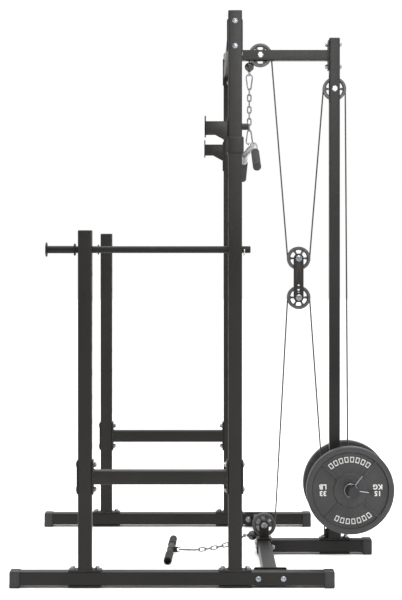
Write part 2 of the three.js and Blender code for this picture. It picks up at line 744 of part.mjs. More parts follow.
const WEIGHT_HUB = 66;
const WEIGHT_RIM = 151; // the rim's inner radius
const WEIGHT_WEB_HALF = 9;
const CAST_DRAFT = 2; // the recess narrows by this much towards the web

function weightPlate() {
  const half = WEIGHT_THICKNESS / 2;
  return ring(
    [
      [WEIGHT_BORE, -half],
      [WEIGHT_HUB, -half],
      [WEIGHT_HUB + CAST_DRAFT, -WEIGHT_WEB_HALF],
      [WEIGHT_RIM - CAST_DRAFT, -WEIGHT_WEB_HALF],
      [WEIGHT_RIM, -half],
      [WEIGHT_RADIUS, -half],
      [WEIGHT_RADIUS, half],
      [WEIGHT_RIM, half],
      [WEIGHT_RIM - CAST_DRAFT, WEIGHT_WEB_HALF],
      [WEIGHT_HUB + CAST_DRAFT, WEIGHT_WEB_HALF],
      [WEIGHT_HUB, half],
      [WEIGHT_BORE, half],
    ],
    28,
  );
}

const COLLAR_WIDTH = 24;
const COLLAR_WIRE = 2.3; // radius
const COLLAR_BORE = HORN_RADIUS + 1.1;
const COLLAR_LEG = 66;
const COLLAR_LEGS = [
  { lean: THREE.MathUtils.degToRad(38), y: -6 },
  { lean: THREE.MathUtils.degToRad(97), y: 6 },
];

// A coiled spring clip round the horn, with two finger legs standing out of it.
function springCollar() {
  const half = COLLAR_WIDTH / 2;
  const outer = COLLAR_BORE + 2 * COLLAR_WIRE;
  const coil = ring(
    [
      [COLLAR_BORE, -half],
      [outer, -half],
      [outer, half],
      [COLLAR_BORE, half],
    ],
    18,
  );
  const legMiddle = COLLAR_BORE + COLLAR_WIRE + COLLAR_LEG / 2;
  const legs = COLLAR_LEGS.map(({ lean, y }) => {
    const leg = new THREE.CylinderGeometry(COLLAR_WIRE, COLLAR_WIRE, COLLAR_LEG, 6);
    leg.translate(0, legMiddle, 0);
    const towards = new THREE.Vector3(Math.sin(lean), 0, Math.cos(lean));
    const turn = new THREE.Quaternion().setFromUnitVectors(new THREE.Vector3(0, 1, 0), towards);
    return leg.applyQuaternion(turn).translate(0, y, 0);
  });
  return join(coil, ...legs);
}

// ---------------------------------------------------------------- J-hooks, safety rods, clips

const HOOK_Z = ROD_Z + HOOK_HOLE * HOLE_PITCH;
const HOOK_PIN_RADIUS = 12;
const HOOK_HALF = 25;
const HOOK_REACH = 85; // in front of the upright
const HOOK_BACK = 4;
const HOOK_PIN_END = 76; // behind the upright's front face
const BRACE_REACH = 48;
const SHEET = 3;
const TRAY_TOP = HOOK_Z + 18;
const TRAY_BOTTOM = HOOK_Z - 28;
const LIP_TOP = HOOK_Z + 38;
const BACK_TOP = HOOK_Z + 29;
const SADDLE_TOP = HOOK_Z - 37;
const SADDLE_BOTTOM = HOOK_Z - 97;

// The hook of one upright: a tray with a front lip, a pin through the upright and, below it, a
// saddle that hugs the upright's sides.
function jHook() {
  const face = -TUBE / 2 - GAP; // the upright's front face, from its centre
  const tip = face - HOOK_REACH;
  const across = [-HOOK_HALF, HOOK_HALF];
  const pinLength = HOOK_PIN_END + HOOK_BACK;
  const pin = round(HOOK_PIN_RADIUS, pinLength, 'x', [face + HOOK_PIN_END - pinLength / 2, 0, HOOK_Z], 12);
  const back = box([face - HOOK_BACK, face], across, [SADDLE_BOTTOM, BACK_TOP]);
  const lip = box([tip, tip + PLATE], across, [TRAY_BOTTOM - 10, LIP_TOP]);
  const shell = box([tip, face], across, [TRAY_BOTTOM, TRAY_TOP]);
  const room = [-HOOK_HALF + SHEET, HOOK_HALF - SHEET];
  const inside = box([tip - 1, face + 1], room, [TRAY_BOTTOM - 1, TRAY_TOP - HOOK_BACK]);
  const brace = new THREE.Shape([
    new THREE.Vector2(face, TRAY_BOTTOM + 2),
    new THREE.Vector2(face - BRACE_REACH, TRAY_BOTTOM + 2),
    new THREE.Vector2(face, TRAY_BOTTOM - 22),
  ]);
  const web = new THREE.ExtrudeGeometry(brace, { depth: 2 * HOOK_HALF, bevelEnabled: false });
  const gusset = cut(web.rotateX(Math.PI / 2).translate(0, HOOK_HALF, 0), inside);
  const inner = TUBE / 2 + GAP;
  const outer = inner + SHEET;
  const saddle = box([face - HOOK_BACK, TUBE / 2 + 4], [-outer, outer], [SADDLE_BOTTOM, SADDLE_TOP]);
  const hugged = box([face, TUBE], [-inner, inner], [SADDLE_BOTTOM - 1, SADDLE_TOP + 1]);
  return join(pin, back, lip, cut(shell, inside), gusset, cut(saddle, hugged));
}

const ROD_TIP_X = -597;
const ROD_COLLAR_X = -495;
const ROD_END_X = 143.5;
const CLIP_X = 120.5;
const CLIP_WIRE = 1.75;
const ROD_DISC_RADIUS = 26;
const ROD_COLLAR_RADIUS = 22;
const ROD_OFFSETS = { right: 0, left: 2 }; // the left rod is pushed a little further in

function safetyRod() {
  const middle = (ROD_TIP_X + ROD_END_X) / 2;
  const rod = round(BAR_RADIUS, ROD_END_X - ROD_TIP_X, 'x', [middle, 0, 0], 12);
  const disc = round(ROD_DISC_RADIUS, PLATE, 'x', [ROD_TIP_X + PLATE / 2, 0, 0], 16);
  const collar = round(ROD_COLLAR_RADIUS, PLATE, 'x', [ROD_COLLAR_X + PLATE / 2, 0, 0], 16);
  const clipHole = round(CLIP_WIRE + 0.8, 40, 'y', [CLIP_X, 0, 0], 8);
  return cut(join(rod, disc, collar), clipHole);
}

const CLIP_REACH = 20; // of both legs to each side of the rod's middle
const CLIP_RING = new THREE.Vector2(-34, -8);
const CLIP_RING_RADIUS = 9;
const BOW_DEPTH = 16; // of the bowed leg below the straight one, clear of the rod
const BOW_WAVE = 1.5;
const BOW_FLARE = 5; // at the bowed leg's tip

// A spring clip: a straight leg through the rod, a ring outside it and a bowed leg back below.
function hitchPin() {
  const ringSteps = 6;
  const turn = Array.from({ length: ringSteps }, (_, index) => {
    const angle = THREE.MathUtils.degToRad(75 + 45 * index);
    const out = new THREE.Vector2(Math.cos(angle), Math.sin(angle)).multiplyScalar(CLIP_RING_RADIUS);
    return out.add(CLIP_RING);
  });
  const bowSteps = 4;
  const bow = Array.from({ length: bowSteps }, (_, index) => {
    const wave = index % 2 ? BOW_WAVE : 0;
    return new THREE.Vector2(-CLIP_REACH + (index * 1.5 * CLIP_REACH) / bowSteps, -BOW_DEPTH - wave);
  });
  const route = [
    new THREE.Vector2(CLIP_REACH, 0),
    new THREE.Vector2(-CLIP_REACH, 0),
    ...turn,
    ...bow,
    new THREE.Vector2(0.85 * CLIP_REACH, -BOW_DEPTH - BOW_FLARE),
  ];
  return sweep(route.map(({ x, y }) => new THREE.Vector3(0, x, y)), CLIP_WIRE, 6);
}

// ---------------------------------------------------------------- assembly

const cage = new THREE.Group();

function add(parent, name, geometry, material, position = [0, 0, 0], rotation = [0, 0, 0]) {
  const mesh = new THREE.Mesh(geometry, material);
  mesh.name = name;
  mesh.position.set(...position);
  mesh.rotation.set(...rotation);
  parent.add(mesh);
  return mesh;
}

const SIDES = [
  ['right', -1],
  ['left', 1],
];

for (const [side, sign] of SIDES) {
  const y = sign * SIDE_Y;
  const railFront = -HALF_LENGTH + FOOT_WALL + GAP;
  const railRear = SIDE_RAIL_END - FOOT_WALL - GAP;
  const rodX = ROD_OFFSETS[side];
  add(cage, `${side}_base_rail`, baseRail(railFront, railRear), powderCoat, [0, y, 0]);
  add(cage, `${side}_front_foot_cap`, footCap(1), blackPlastic, [-HALF_LENGTH, y, 0]);
  add(cage, `${side}_rear_foot_cap`, footCap(-1), blackPlastic, [SIDE_RAIL_END, y, 0]);
  add(cage, `${side}_front_upright`, upright(FRONT_TOP, HIGHEST_FRONT_HOLE), powderCoat, [FRONT_X, y, 0]);
  add(cage, `${side}_rear_upright`, upright(REAR_TOP, HIGHEST_REAR_HOLE), powderCoat, [REAR_X, y, 0]);
  add(cage, `${side}_side_rail`, sideRail(), powderCoat, [0, y, 0]);
  add(cage, `${side}_j_hook`, jHook(), powderCoat, [REAR_X, y, 0]);
  add(cage, `${side}_safety_rod`, safetyRod(), powderCoat, [rodX, y, ROD_Z]);
  const clipTurn = sign > 0 ? Math.PI : 0;
  add(cage, `${side}_hitch_pin`, hitchPin(), zinc, [CLIP_X + rodX, y, ROD_Z], [0, 0, clipTurn]);
}

add(cage, 'rear_crossmember', rearCrossmember(), powderCoat);
add(cage, 'top_crossbeam', topCrossbeam(), powderCoat);

add(cage, 'centre_base_rail', centreBaseRail(), powderCoat);
add(cage, 'centre_foot_cap', footCap(-1), blackPlastic, [CENTRE_RAIL_END + FOOT_WALL, 0, 0]);

add(cage, 'tower_foot', towerFoot(), powderCoat, [TOWER_X, 0, 0]);
add(cage, 'tower_post', towerPost(), powderCoat, [TOWER_X, 0, 0]);
add(cage, 'lat_beam', latBeam(), powderCoat);
add(cage, 'carriage_bumper', carriageBumper(), rubber, [TOWER_X, 0, 0]);
add(cage, 'low_pulley_bracket', lowPulleyBracket(), powderCoat, [CROSS_X, 0, 0]);

for (const [name, centre] of Object.entries(PULLEYS)) {
  add(cage, name, pulley(), nylon, [centre.x, 0, centre.y]);
  const half = name.includes('top') ? POST / 2 : LOW_BRACKET_INNER + PLATE;
  const axle = name.replace('pulley', 'axle');
  add(cage, axle, axleBolt(half), zinc, [centre.x, 0, centre.y]);
}
add(cage, 'right_floating_strap', floatingStrap(-1), powderCoat);
add(cage, 'left_floating_strap', floatingStrap(1), powderCoat);

add(cage, 'top_cable', topCable(), cableJacket);
add(cage, 'low_cable', lowCable(), cableJacket);
add(cage, 'lat_cable_run', latCableRun(), cableJacket);
add(cage, 'lift_cable_run', liftCableRun(), cableJacket);
add(cage, 'row_cable_run', rowCableRun(), cableJacket);
add(cage, 'lat_ball_stop', ballStop(), blackPlastic, [LAT_X, 0, LAT_BALL_Z]);
const rowBallTurn = [0, QUARTER, QUARTER];
add(cage, 'row_ball_stop', ballStop(), blackPlastic, [ROW_BALL_X, 0, ROW_LINE_Z], rowBallTurn);

add(cage, 'lat_chain', latChain(), zinc);
add(cage, 'row_chain', rowChain(), zinc);

const latAssembly = new THREE.Group();
latAssembly.position.set(LAT_X, 0, LAT_BAR_Z);
latAssembly.rotation.z = LAT_YAW;
cage.add(latAssembly);
add(latAssembly, 'lat_bar', latBar(), chrome);

const slope = Math.atan2(LAT_END_DROP - LAT_BEND_DROP, LAT_END_Y - LAT_STRAIGHT - LAT_BEND_HALF);
for (const [side, sign] of SIDES) {
  const innerY = sign * (LAT_END_Y - LAT_GRIP_LENGTH * Math.cos(slope));
  const innerZ = -LAT_END_DROP + LAT_GRIP_LENGTH * Math.sin(slope);
  const turn = sign > 0 ? -slope : Math.PI + slope;
  const grip = foamGrip(LAT_GRIP_LENGTH);
  add(latAssembly, `lat_${side}_grip`, grip, foam, [0, innerY, innerZ], [turn, 0, 0]);
}

const rowAssembly = new THREE.Group();
rowAssembly.position.set(ROW_BAR_X, 0, ROW_BAR_Z);
rowAssembly.rotation.z = ROW_BAR_YAW;
cage.add(rowAssembly);
add(rowAssembly, 'row_bar', rowBar(), powderCoat);
for (const [side, sign] of SIDES) {
  const grip = foamGrip(ROW_GRIP_LENGTH);
  const inner = sign * (ROW_BAR_HALF - ROW_GRIP_LENGTH);
  add(rowAssembly, `row_${side}_grip`, grip, foam, [0, inner, 0], [sign > 0 ? 0 : Math.PI, 0, 0]);
}

add(cage, 'carriage', carriage(), powderCoat, [TOWER_X, 0, 0]);
// A plate hangs upright from the horn's highest point inside its bore.
const weightOuter = WEIGHT_INNER + WEIGHT_THICKNESS;
const hornTop = HORN_Z + weightOuter * Math.tan(HORN_TILT) + HORN_RADIUS / Math.cos(HORN_TILT);
const weightZ = hornTop - WEIGHT_BORE + 2 * GAP;
const COLLAR_SPACE = 3; // the collar stands square to the tilted horn
const collarY = weightOuter + COLLAR_SPACE + COLLAR_WIDTH / 2;
const collarZ = HORN_Z + collarY * Math.tan(HORN_TILT);
for (const [side, sign] of SIDES) {
  const plateY = sign * (WEIGHT_INNER + WEIGHT_THICKNESS / 2);
  add(cage, `${side}_weight_plate`, weightPlate(), castIron, [HORN_X, plateY, weightZ]);
  const collarPlace = [HORN_X, sign * collarY, collarZ];
  add(cage, `${side}_spring_collar`, springCollar(), zinc, collarPlace, [sign * HORN_TILT, 0, 0]);
}

export default cage;
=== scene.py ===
"""Looks of the power cage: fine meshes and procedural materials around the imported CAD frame."""

import math

import bmesh
import bpy
from mathutils import Matrix, Vector


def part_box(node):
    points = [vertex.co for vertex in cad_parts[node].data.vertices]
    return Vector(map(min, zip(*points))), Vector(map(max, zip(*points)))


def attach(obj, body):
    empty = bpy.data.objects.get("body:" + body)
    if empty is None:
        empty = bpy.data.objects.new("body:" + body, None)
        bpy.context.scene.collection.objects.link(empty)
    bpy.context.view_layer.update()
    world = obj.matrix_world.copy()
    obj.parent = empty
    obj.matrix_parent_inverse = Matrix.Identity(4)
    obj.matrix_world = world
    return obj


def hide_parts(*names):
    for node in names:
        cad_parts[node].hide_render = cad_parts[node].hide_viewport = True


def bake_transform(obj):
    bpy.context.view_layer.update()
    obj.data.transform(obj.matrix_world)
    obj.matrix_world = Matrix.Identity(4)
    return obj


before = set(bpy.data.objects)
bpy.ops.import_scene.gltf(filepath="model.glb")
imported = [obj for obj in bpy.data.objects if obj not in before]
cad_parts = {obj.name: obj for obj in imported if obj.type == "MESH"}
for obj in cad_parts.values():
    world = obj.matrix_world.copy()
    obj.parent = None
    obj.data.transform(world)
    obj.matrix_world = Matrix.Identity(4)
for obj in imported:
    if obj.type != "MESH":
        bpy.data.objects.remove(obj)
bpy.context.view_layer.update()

# --- sizes shared with the CAD, in metres

TUBE = 0.050
PLUG_HEIGHT = 0.0031
BOLT_HOLE = 0.0055
WALL = 0.002
CORNER = 0.005
POST = 0.042
POST_CORNER = 0.004
STRAP_HALF = 0.019
PLATE = 0.005
FLANGE = 0.120
BOLT_OFFSET = 0.045  # from a flange's middle to each of its bolts
GAP = 0.0003

SIDE_Y = 0.585
RAIL_BOTTOM = 0.009
RAIL_TOP = RAIL_BOTTOM + TUBE
RAIL_Z = RAIL_BOTTOM + TUBE / 2
FRONT_X = -0.4545
REAR_X = 0.0875
CROSS_X = 0.2165
TOWER_X = 0.499
BEAM_Z = 1.999
SIDE_RAIL_Z = 0.398

HOLE_PITCH = 0.0889
HOLE_RADIUS = 0.0135
ROD_Z = 1.220
LOWEST_HOLE = -8
HIGHEST_HOLE = {"front": 0, "rear": 7}

CABLE_RADIUS = 0.003
WRAP_RADIUS = 0.044
PULLEY_RADIUS = 0.047
PULLEY_HALF = 0.011
AXLE_RADIUS = 0.005
AXLE_HOLE = 0.0056
BALL_RADIUS = 0.0185
BALL_EYE = 0.0306
WIRE_RADIUS = 0.0026
BAR_RADIUS = 0.0125
GRIP_RADIUS = 0.0155

# name: (body, x, z, half the stack that its axle clamps)
PULLEYS = {
    "front_top": ("front_top_wheel", 0.2015, 2.0, POST / 2),
    "rear_top": ("rear_top_wheel", TOWER_X, 1.865, POST / 2),
    "upper_floating": ("upper_floating_wheel", 0.3555, 1.185, 0.018),
    "lower_floating": ("lower_floating_wheel", 0.3555, 1.028, 0.018),
    "low": ("low_wheel", CROSS_X, 0.116, 0.019),
}
LAT_X = PULLEYS["front_top"][1] - WRAP_RADIUS
LAT_BALL_Z = 1.953
ROW_BALL_X = 0.1695
ROW_LINE_Z = PULLEYS["low"][2] - WRAP_RADIUS

HORN_X = 0.553
HORN_Z = 0.263
HORN_TILT = math.radians(4.5)  # both halves of the horn rise outwards
HORN_RADIUS = 0.0225
HORN_HALF = 0.250
EYE_TOP = 0.342
LIFT_EYE_Z = EYE_TOP - 0.009

SIDES = (("right", -1), ("left", 1))
X = Vector((1, 0, 0))
Y = Vector((0, 1, 0))
Z = Vector((0, 0, 1))
QUARTER = math.pi / 2


# --- materials


class Shader:
    """A small helper that builds one principled material out of procedural nodes."""

    def __init__(self, name, roughness=0.5, metallic=0.0, specular=0.5):
        self.material = bpy.data.materials.new(name)
        self.material.use_nodes = True
        self.nodes = self.material.node_tree.nodes
        self.links = self.material.node_tree.links
        self.surface = self.nodes["Principled BSDF"]
        self.surface.inputs["Roughness"].default_value = roughness
        self.surface.inputs["Metallic"].default_value = metallic
        self.surface.inputs["Specular IOR Level"].default_value = specular
        self.place = self.nodes.new("ShaderNodeTexCoord").outputs["Object"]

    def noise(self, scale, detail=4.0, roughness=0.55, stretch=(1, 1, 1)):
        mapping = self.nodes.new("ShaderNodeMapping")
        mapping.inputs["Scale"].default_value = stretch
        self.links.new(self.place, mapping.inputs["Vector"])
        node = self.nodes.new("ShaderNodeTexNoise")
        node.inputs["Scale"].default_value = scale
        node.inputs["Detail"].default_value = detail
        node.inputs["Roughness"].default_value = roughness
        self.links.new(mapping.outputs["Vector"], node.inputs["Vector"])
        return node.outputs["Fac"]

    def cells(self, scale, feature="F1"):
        node = self.nodes.new("ShaderNodeTexVoronoi")
        node.feature = feature
        node.inputs["Scale"].default_value = scale
        self.links.new(self.place, node.inputs["Vector"])
        return node.outputs["Distance"]

    def ramp(self, value, low, high, start=0.0, end=1.0):
        """Maps value from low..high to start..end, clamped."""
        node = self.nodes.new("ShaderNodeMapRange")
        for socket, number in zip(("From Min", "From Max", "To Min", "To Max"), (low, high, start, end)):
            node.inputs[socket].default_value = number
        self.links.new(value, node.inputs["Value"])
        return node.outputs["Result"]

    def math(self, operation, first, second):
        node = self.nodes.new("ShaderNodeMath")
        node.operation = operation
        for socket, value in zip(node.inputs, (first, second)):
            if isinstance(value, (int, float)):
                socket.default_value = value
            else:
                self.links.new(value, socket)
        return node.outputs["Value"]

    def mix(self, factor, first, second):
        """A colour between two, each given as a grey level, RGB or another colour output."""
        node = self.nodes.new("ShaderNodeMix")
        node.data_type = "RGBA"
        self.links.new(factor, node.inputs["Factor"])
        for socket, value in ((node.inputs[6], first), (node.inputs[7], second)):
            if isinstance(value, float):
                value = (value, value, value)
            if isinstance(value, tuple):
                socket.default_value = (*value, 1.0)
            else:
                self.links.new(value, socket)
        return node.outputs[2]

    def edges(self, radius, low=0.02, high=0.25):
        """1 on the arrises of the shape and 0 on its flats."""
        bevel = self.nodes.new("ShaderNodeBevel")
        bevel.samples = 4
        bevel.inputs["Radius"].default_value = radius
        normal = self.nodes.new("ShaderNodeNewGeometry").outputs["Normal"]
        product = self.nodes.new("ShaderNodeVectorMath")
        product.operation = "DOT_PRODUCT"
        self.links.new(bevel.outputs["Normal"], product.inputs[0])
        self.links.new(normal, product.inputs[1])
        return self.ramp(product.outputs["Value"], 1.0 - low, 1.0 - high)

    def bump(self, *layers):
        """Adds height layers, each (value, depth in metres), one on top of another."""
        normal = None
        for height, depth in layers:
            node = self.nodes.new("ShaderNodeBump")
            node.inputs["Strength"].default_value = 1.0
            node.inputs["Distance"].default_value = depth
            self.links.new(height, node.inputs["Height"])
            if normal is not None:
                self.links.new(normal, node.inputs["Normal"])
            normal = node.outputs["Normal"]
        self.links.new(normal, self.surface.inputs["Normal"])

    def set(self, socket, value):
        self.links.new(value, self.surface.inputs[socket])

    def base(self, factor, first, second):
        self.set("Base Color", self.mix(factor, first, second))

    def patches(self, scale, detail, low, high):
        """Noise as patches: 0 below low and 1 above high."""
        return self.ramp(self.noise(scale, detail), low, high)

    def gloss(self, scale, detail, start, end):
        """Roughness that wanders between two values."""
        self.set("Roughness", self.ramp(self.noise(scale, detail), 0.3, 0.7, start, end))

    def worn(self, radius, *patch):
        """Arrises that are rubbed through in patches."""
        return self.math("MULTIPLY", self.edges(radius), self.patches(*patch))


ROUTE_UV = "route"
MATERIALS = {}


def material(name, slot, **finish):
    """Makes a material with the function below it, and files it with the slot that it fills."""

    def build(maker):
        shader = Shader(name, **finish)
        maker(shader)
        MATERIALS[maker.__name__] = (shader.material, slot)
        return maker

    return build


@material("powder_coat", "frame_powder_coat", specular=0.22)
def powder_coat(shader):
    cloud = shader.noise(2.2, 3)
    tone = shader.mix(shader.ramp(cloud, 0.35, 0.65), (0.0066, 0.0060, 0.0053), (0.0108, 0.0099, 0.0090))
    scuff = shader.ramp(shader.noise(26, 8, 0.72, (1, 1, 0.25)), 0.63, 0.74)
    tone = shader.mix(shader.math("MULTIPLY", scuff, 0.35), tone, (0.035, 0.035, 0.036))
    shader.base(shader.worn(0.0012, 90, 6, 0.48, 0.68), tone, (0.16, 0.16, 0.165))
    shader.set("Roughness", shader.ramp(shader.math("ADD", cloud, scuff), 0.3, 1.3, 0.40, 0.56))
    shader.bump((shader.noise(850, 2, 0.5), 0.00022), (shader.noise(160, 2), 0.00025))


@material("moulded_plastic", "black_plastic", specular=0.4)
def moulded_plastic(shader):
    worn = shader.worn(0.002, 60, 5, 0.4, 0.7)
    tone = shader.mix(shader.patches(6, 4, 0.3, 0.7), (0.011, 0.011, 0.012), (0.017, 0.0165, 0.017))
    shader.base(worn, tone, (0.045, 0.045, 0.047))
    shader.gloss(40, 4, 0.48, 0.64)
    shader.bump((shader.cells(620), 0.00018), (shader.noise(1300, 2), 0.0001))


@material("pulley_nylon", "pulley_nylon", specular=0.45)
def pulley_nylon(shader):
    tone = shader.mix(shader.patches(30, 5, 0.3, 0.7), (0.030, 0.029, 0.028), (0.046, 0.044, 0.042))
    rubbed = shader.worn(0.0015, 150, 5, 0.35, 0.65)
    shader.base(rubbed, tone, (0.11, 0.107, 0.10))
    shader.gloss(70, 4, 0.38, 0.55)
    shader.bump((shader.noise(1100, 3), 0.00012))


@material("closed_cell_foam", "foam_grip", roughness=0.92, specular=0.2)
def foam(shader):
    pore_dimples_and_shade = shader.cells(900)
    # painted shade: the pore dimples are coloured darker than the foam round them
    shader.base(shader.ramp(pore_dimples_and_shade, 0.1, 0.6), 0.012, (0.034, 0.032, 0.030))
    shader.bump((pore_dimples_and_shade, 0.0006), (shader.noise(120, 3), 0.0008))


@material("bumper_rubber", "bumper_rubber", specular=0.3)
def rubber(shader):
    shader.base(shader.noise(40, 5), 0.010, (0.024, 0.024, 0.025))
    shader.gloss(90, 4, 0.7, 0.9)
    shader.bump((shader.noise(900, 3), 0.0002))


@material("cable_jacket", "cable_jacket", roughness=0.32, specular=0.5)
def cable_jacket(shader):
    """Black nylon drawn over a laid steel rope, whose lay shows through as ridges, coloured with painted
    shade: darker in the grooves and lighter on the crests. It reads the route's UV map.
    """
    route = shader.nodes.new("ShaderNodeUVMap")
    route.uv_map = ROUTE_UV
    split = shader.nodes.new("ShaderNodeSeparateXYZ")
    shader.links.new(route.outputs["UV"], split.inputs["Vector"])
    strand_count = 6
    lay_length = 0.006
    turns = shader.math("MULTIPLY", split.outputs["X"], strand_count * 4 * QUARTER)
    lay = shader.math("MULTIPLY", split.outputs["Y"], 4 * QUARTER / lay_length)
    strand_ridges_and_shade = shader.math("SINE", shader.math("ADD", turns, lay), 0.0)
    # painted shade and highlight: the colour follows the strand ridges, darker in the grooves and lighter on
    # the crests
    shader.base(shader.ramp(strand_ridges_and_shade, -1, 1), (0.010, 0.010, 0.011), (0.022, 0.022, 0.023))
    shader.gloss(50, 4, 0.26, 0.42)
    shader.bump((strand_ridges_and_shade, 0.00012), (shader.noise(400, 3), 0.0001))


@material("gloss_black_plastic", "black_plastic", specular=0.5)
def gloss_ball(shader):
    shader.base(shader.noise(30, 3), 0.006, 0.014)
    shader.set("Roughness", shader.ramp(shader.noise(120, 5), 0.35, 0.7, 0.16, 0.34))
    shader.bump((shader.noise(300, 3), 0.00008))


@material("bright_zinc", "zinc_plate", metallic=0.95)
def zinc(shader):
    bloom = shader.patches(70, 6, 0.35, 0.7)
    tone = shader.mix(bloom, (0.30, 0.32, 0.34), (0.16, 0.17, 0.19))
    grime = shader.patches(260, 4, 0.6, 0.75)
    shader.base(grime, tone, 0.06)
    shader.gloss(180, 5, 0.20, 0.42)
    shader.bump((shader.noise(700, 4), 0.00006))


@material("chain_steel", "zinc_plate", metallic=0.9)
def chain_steel(shader):
    """Plated wire, duller than the bolts, with dirt in scattered patches."""
    tone = shader.mix(shader.patches(120, 6, 0.35, 0.7), (0.17, 0.18, 0.20), (0.085, 0.09, 0.10))
    grime = shader.patches(300, 4, 0.58, 0.75)
    shader.base(grime, tone, 0.035)
    shader.gloss(180, 5, 0.24, 0.45)
    shader.bump((shader.noise(700, 4), 0.00006))


@material("yellow_zinc", "zinc_plate", metallic=0.9)
def yellow_zinc(shader):
    shader.base(shader.noise(90, 5), (0.52, 0.47, 0.36), (0.40, 0.37, 0.30))
    shader.gloss(200, 4, 0.22, 0.4)
    shader.bump((shader.noise(700, 4), 0.00005))


@material("satin_chrome", "bright_chrome", metallic=1.0)
def satin_chrome(shader):
    """Plated bar stock with a few smudges."""
    smudge = shader.ramp(shader.noise(24, 6, 0.65), 0.4, 0.75)
    shader.base(smudge, (0.24, 0.245, 0.25), (0.15, 0.155, 0.16))
    shader.gloss(60, 5, 0.16, 0.34)
    shader.bump((shader.noise(900, 3), 0.00005))


@material("dark_rod", "frame_powder_coat", specular=0.12)
def dark_rod(shader):
    """Blackened round bar of the safeties, rubbed in patches."""
    rubbed = shader.ramp(shader.noise(18, 7, 0.7), 0.58, 0.8)
    shader.base(rubbed, (0.009, 0.009, 0.0095), (0.016, 0.016, 0.0165))
    shader.set("Roughness", shader.ramp(rubbed, 0, 1, 0.42, 0.28))
    shader.bump((shader.noise(900, 3), 0.0001))


@material("hammered_iron", "cast_iron_paint", specular=0.45)
def hammered_iron(shader):
    dents = shader.cells(170, "SMOOTH_F1")
    tone = shader.mix(shader.patches(14, 5, 0.3, 0.7), (0.018, 0.018, 0.019), (0.028, 0.0275, 0.028))
    worn = shader.worn(0.002, 70, 6, 0.45, 0.65)
    shader.base(worn, tone, 0.15)
    shader.gloss(90, 4, 0.42, 0.58)
    shader.bump((dents, 0.0006), (shader.noise(800, 3), 0.0002))


@material("silver_paint", "cast_iron_paint", specular=0.4)
def silver_paint(shader):
    rubbed = shader.ramp(shader.noise(420, 6, 0.7), 0.62, 0.7)
    tone = shader.mix(shader.noise(60, 4), (0.58, 0.57, 0.55), (0.46, 0.46, 0.45))
    shader.base(rubbed, tone, 0.12)
    shader.gloss(200, 3, 0.4, 0.6)
    shader.bump((shader.cells(300), 0.0002))


# --- mesh building


def basis(axis):
    """A rotation that takes +Z to the axis."""
    return axis.to_track_quat("Z", "Y").to_matrix().to_4x4()


ALONG = {"x": basis(X), "y": basis(Y), "z": Matrix.Identity(4)}


def arc(centre, radius, start, end, steps, squash=1.0):
    """Points on an arc from one angle to another, squashed along its second axis if asked."""
    angles = [start + (end - start) * step / steps for step in range(steps + 1)]
    return [(centre[0] + radius * math.cos(a), centre[1] + squash * radius * math.sin(a)) for a in angles]


def circle(radius, centre=(0, 0), steps=24):
    return arc(centre, radius, 0, 4 * QUARTER, steps)[:-1]


def rounded(width, height, radius, centre=(0, 0), steps=5):
    """A rectangle with rounded corners."""
    points = []
    for quarter, (u, v) in enumerate(((1, 1), (-1, 1), (-1, -1), (1, -1))):
        middle = (centre[0] + u * (width / 2 - radius), centre[1] + v * (height / 2 - radius))
        points += arc(middle, radius, quarter * QUARTER, (quarter + 1) * QUARTER, steps)
    return points


def level(outline, x, y, z):
    """An outline laid flat at a height."""
    return [(x + u, y + v, z) for u, v in outline]


def mirrored(half):
    """A turned profile completed by its own mirror image."""
    return half + [(radius, -height) for radius, height in reversed(half)]


def add_cube(mesh, low, high, matrix=None):
    size = Vector(high) - Vector(low)
    made = bmesh.ops.create_cube(mesh, size=1.0)["verts"]
    place = Matrix.Translation((Vector(low) + Vector(high)) / 2) @ Matrix.Diagonal((*size, 1))
    bmesh.ops.transform(mesh, matrix=(matrix or Matrix.Identity(4)) @ place, verts=made)
    return made


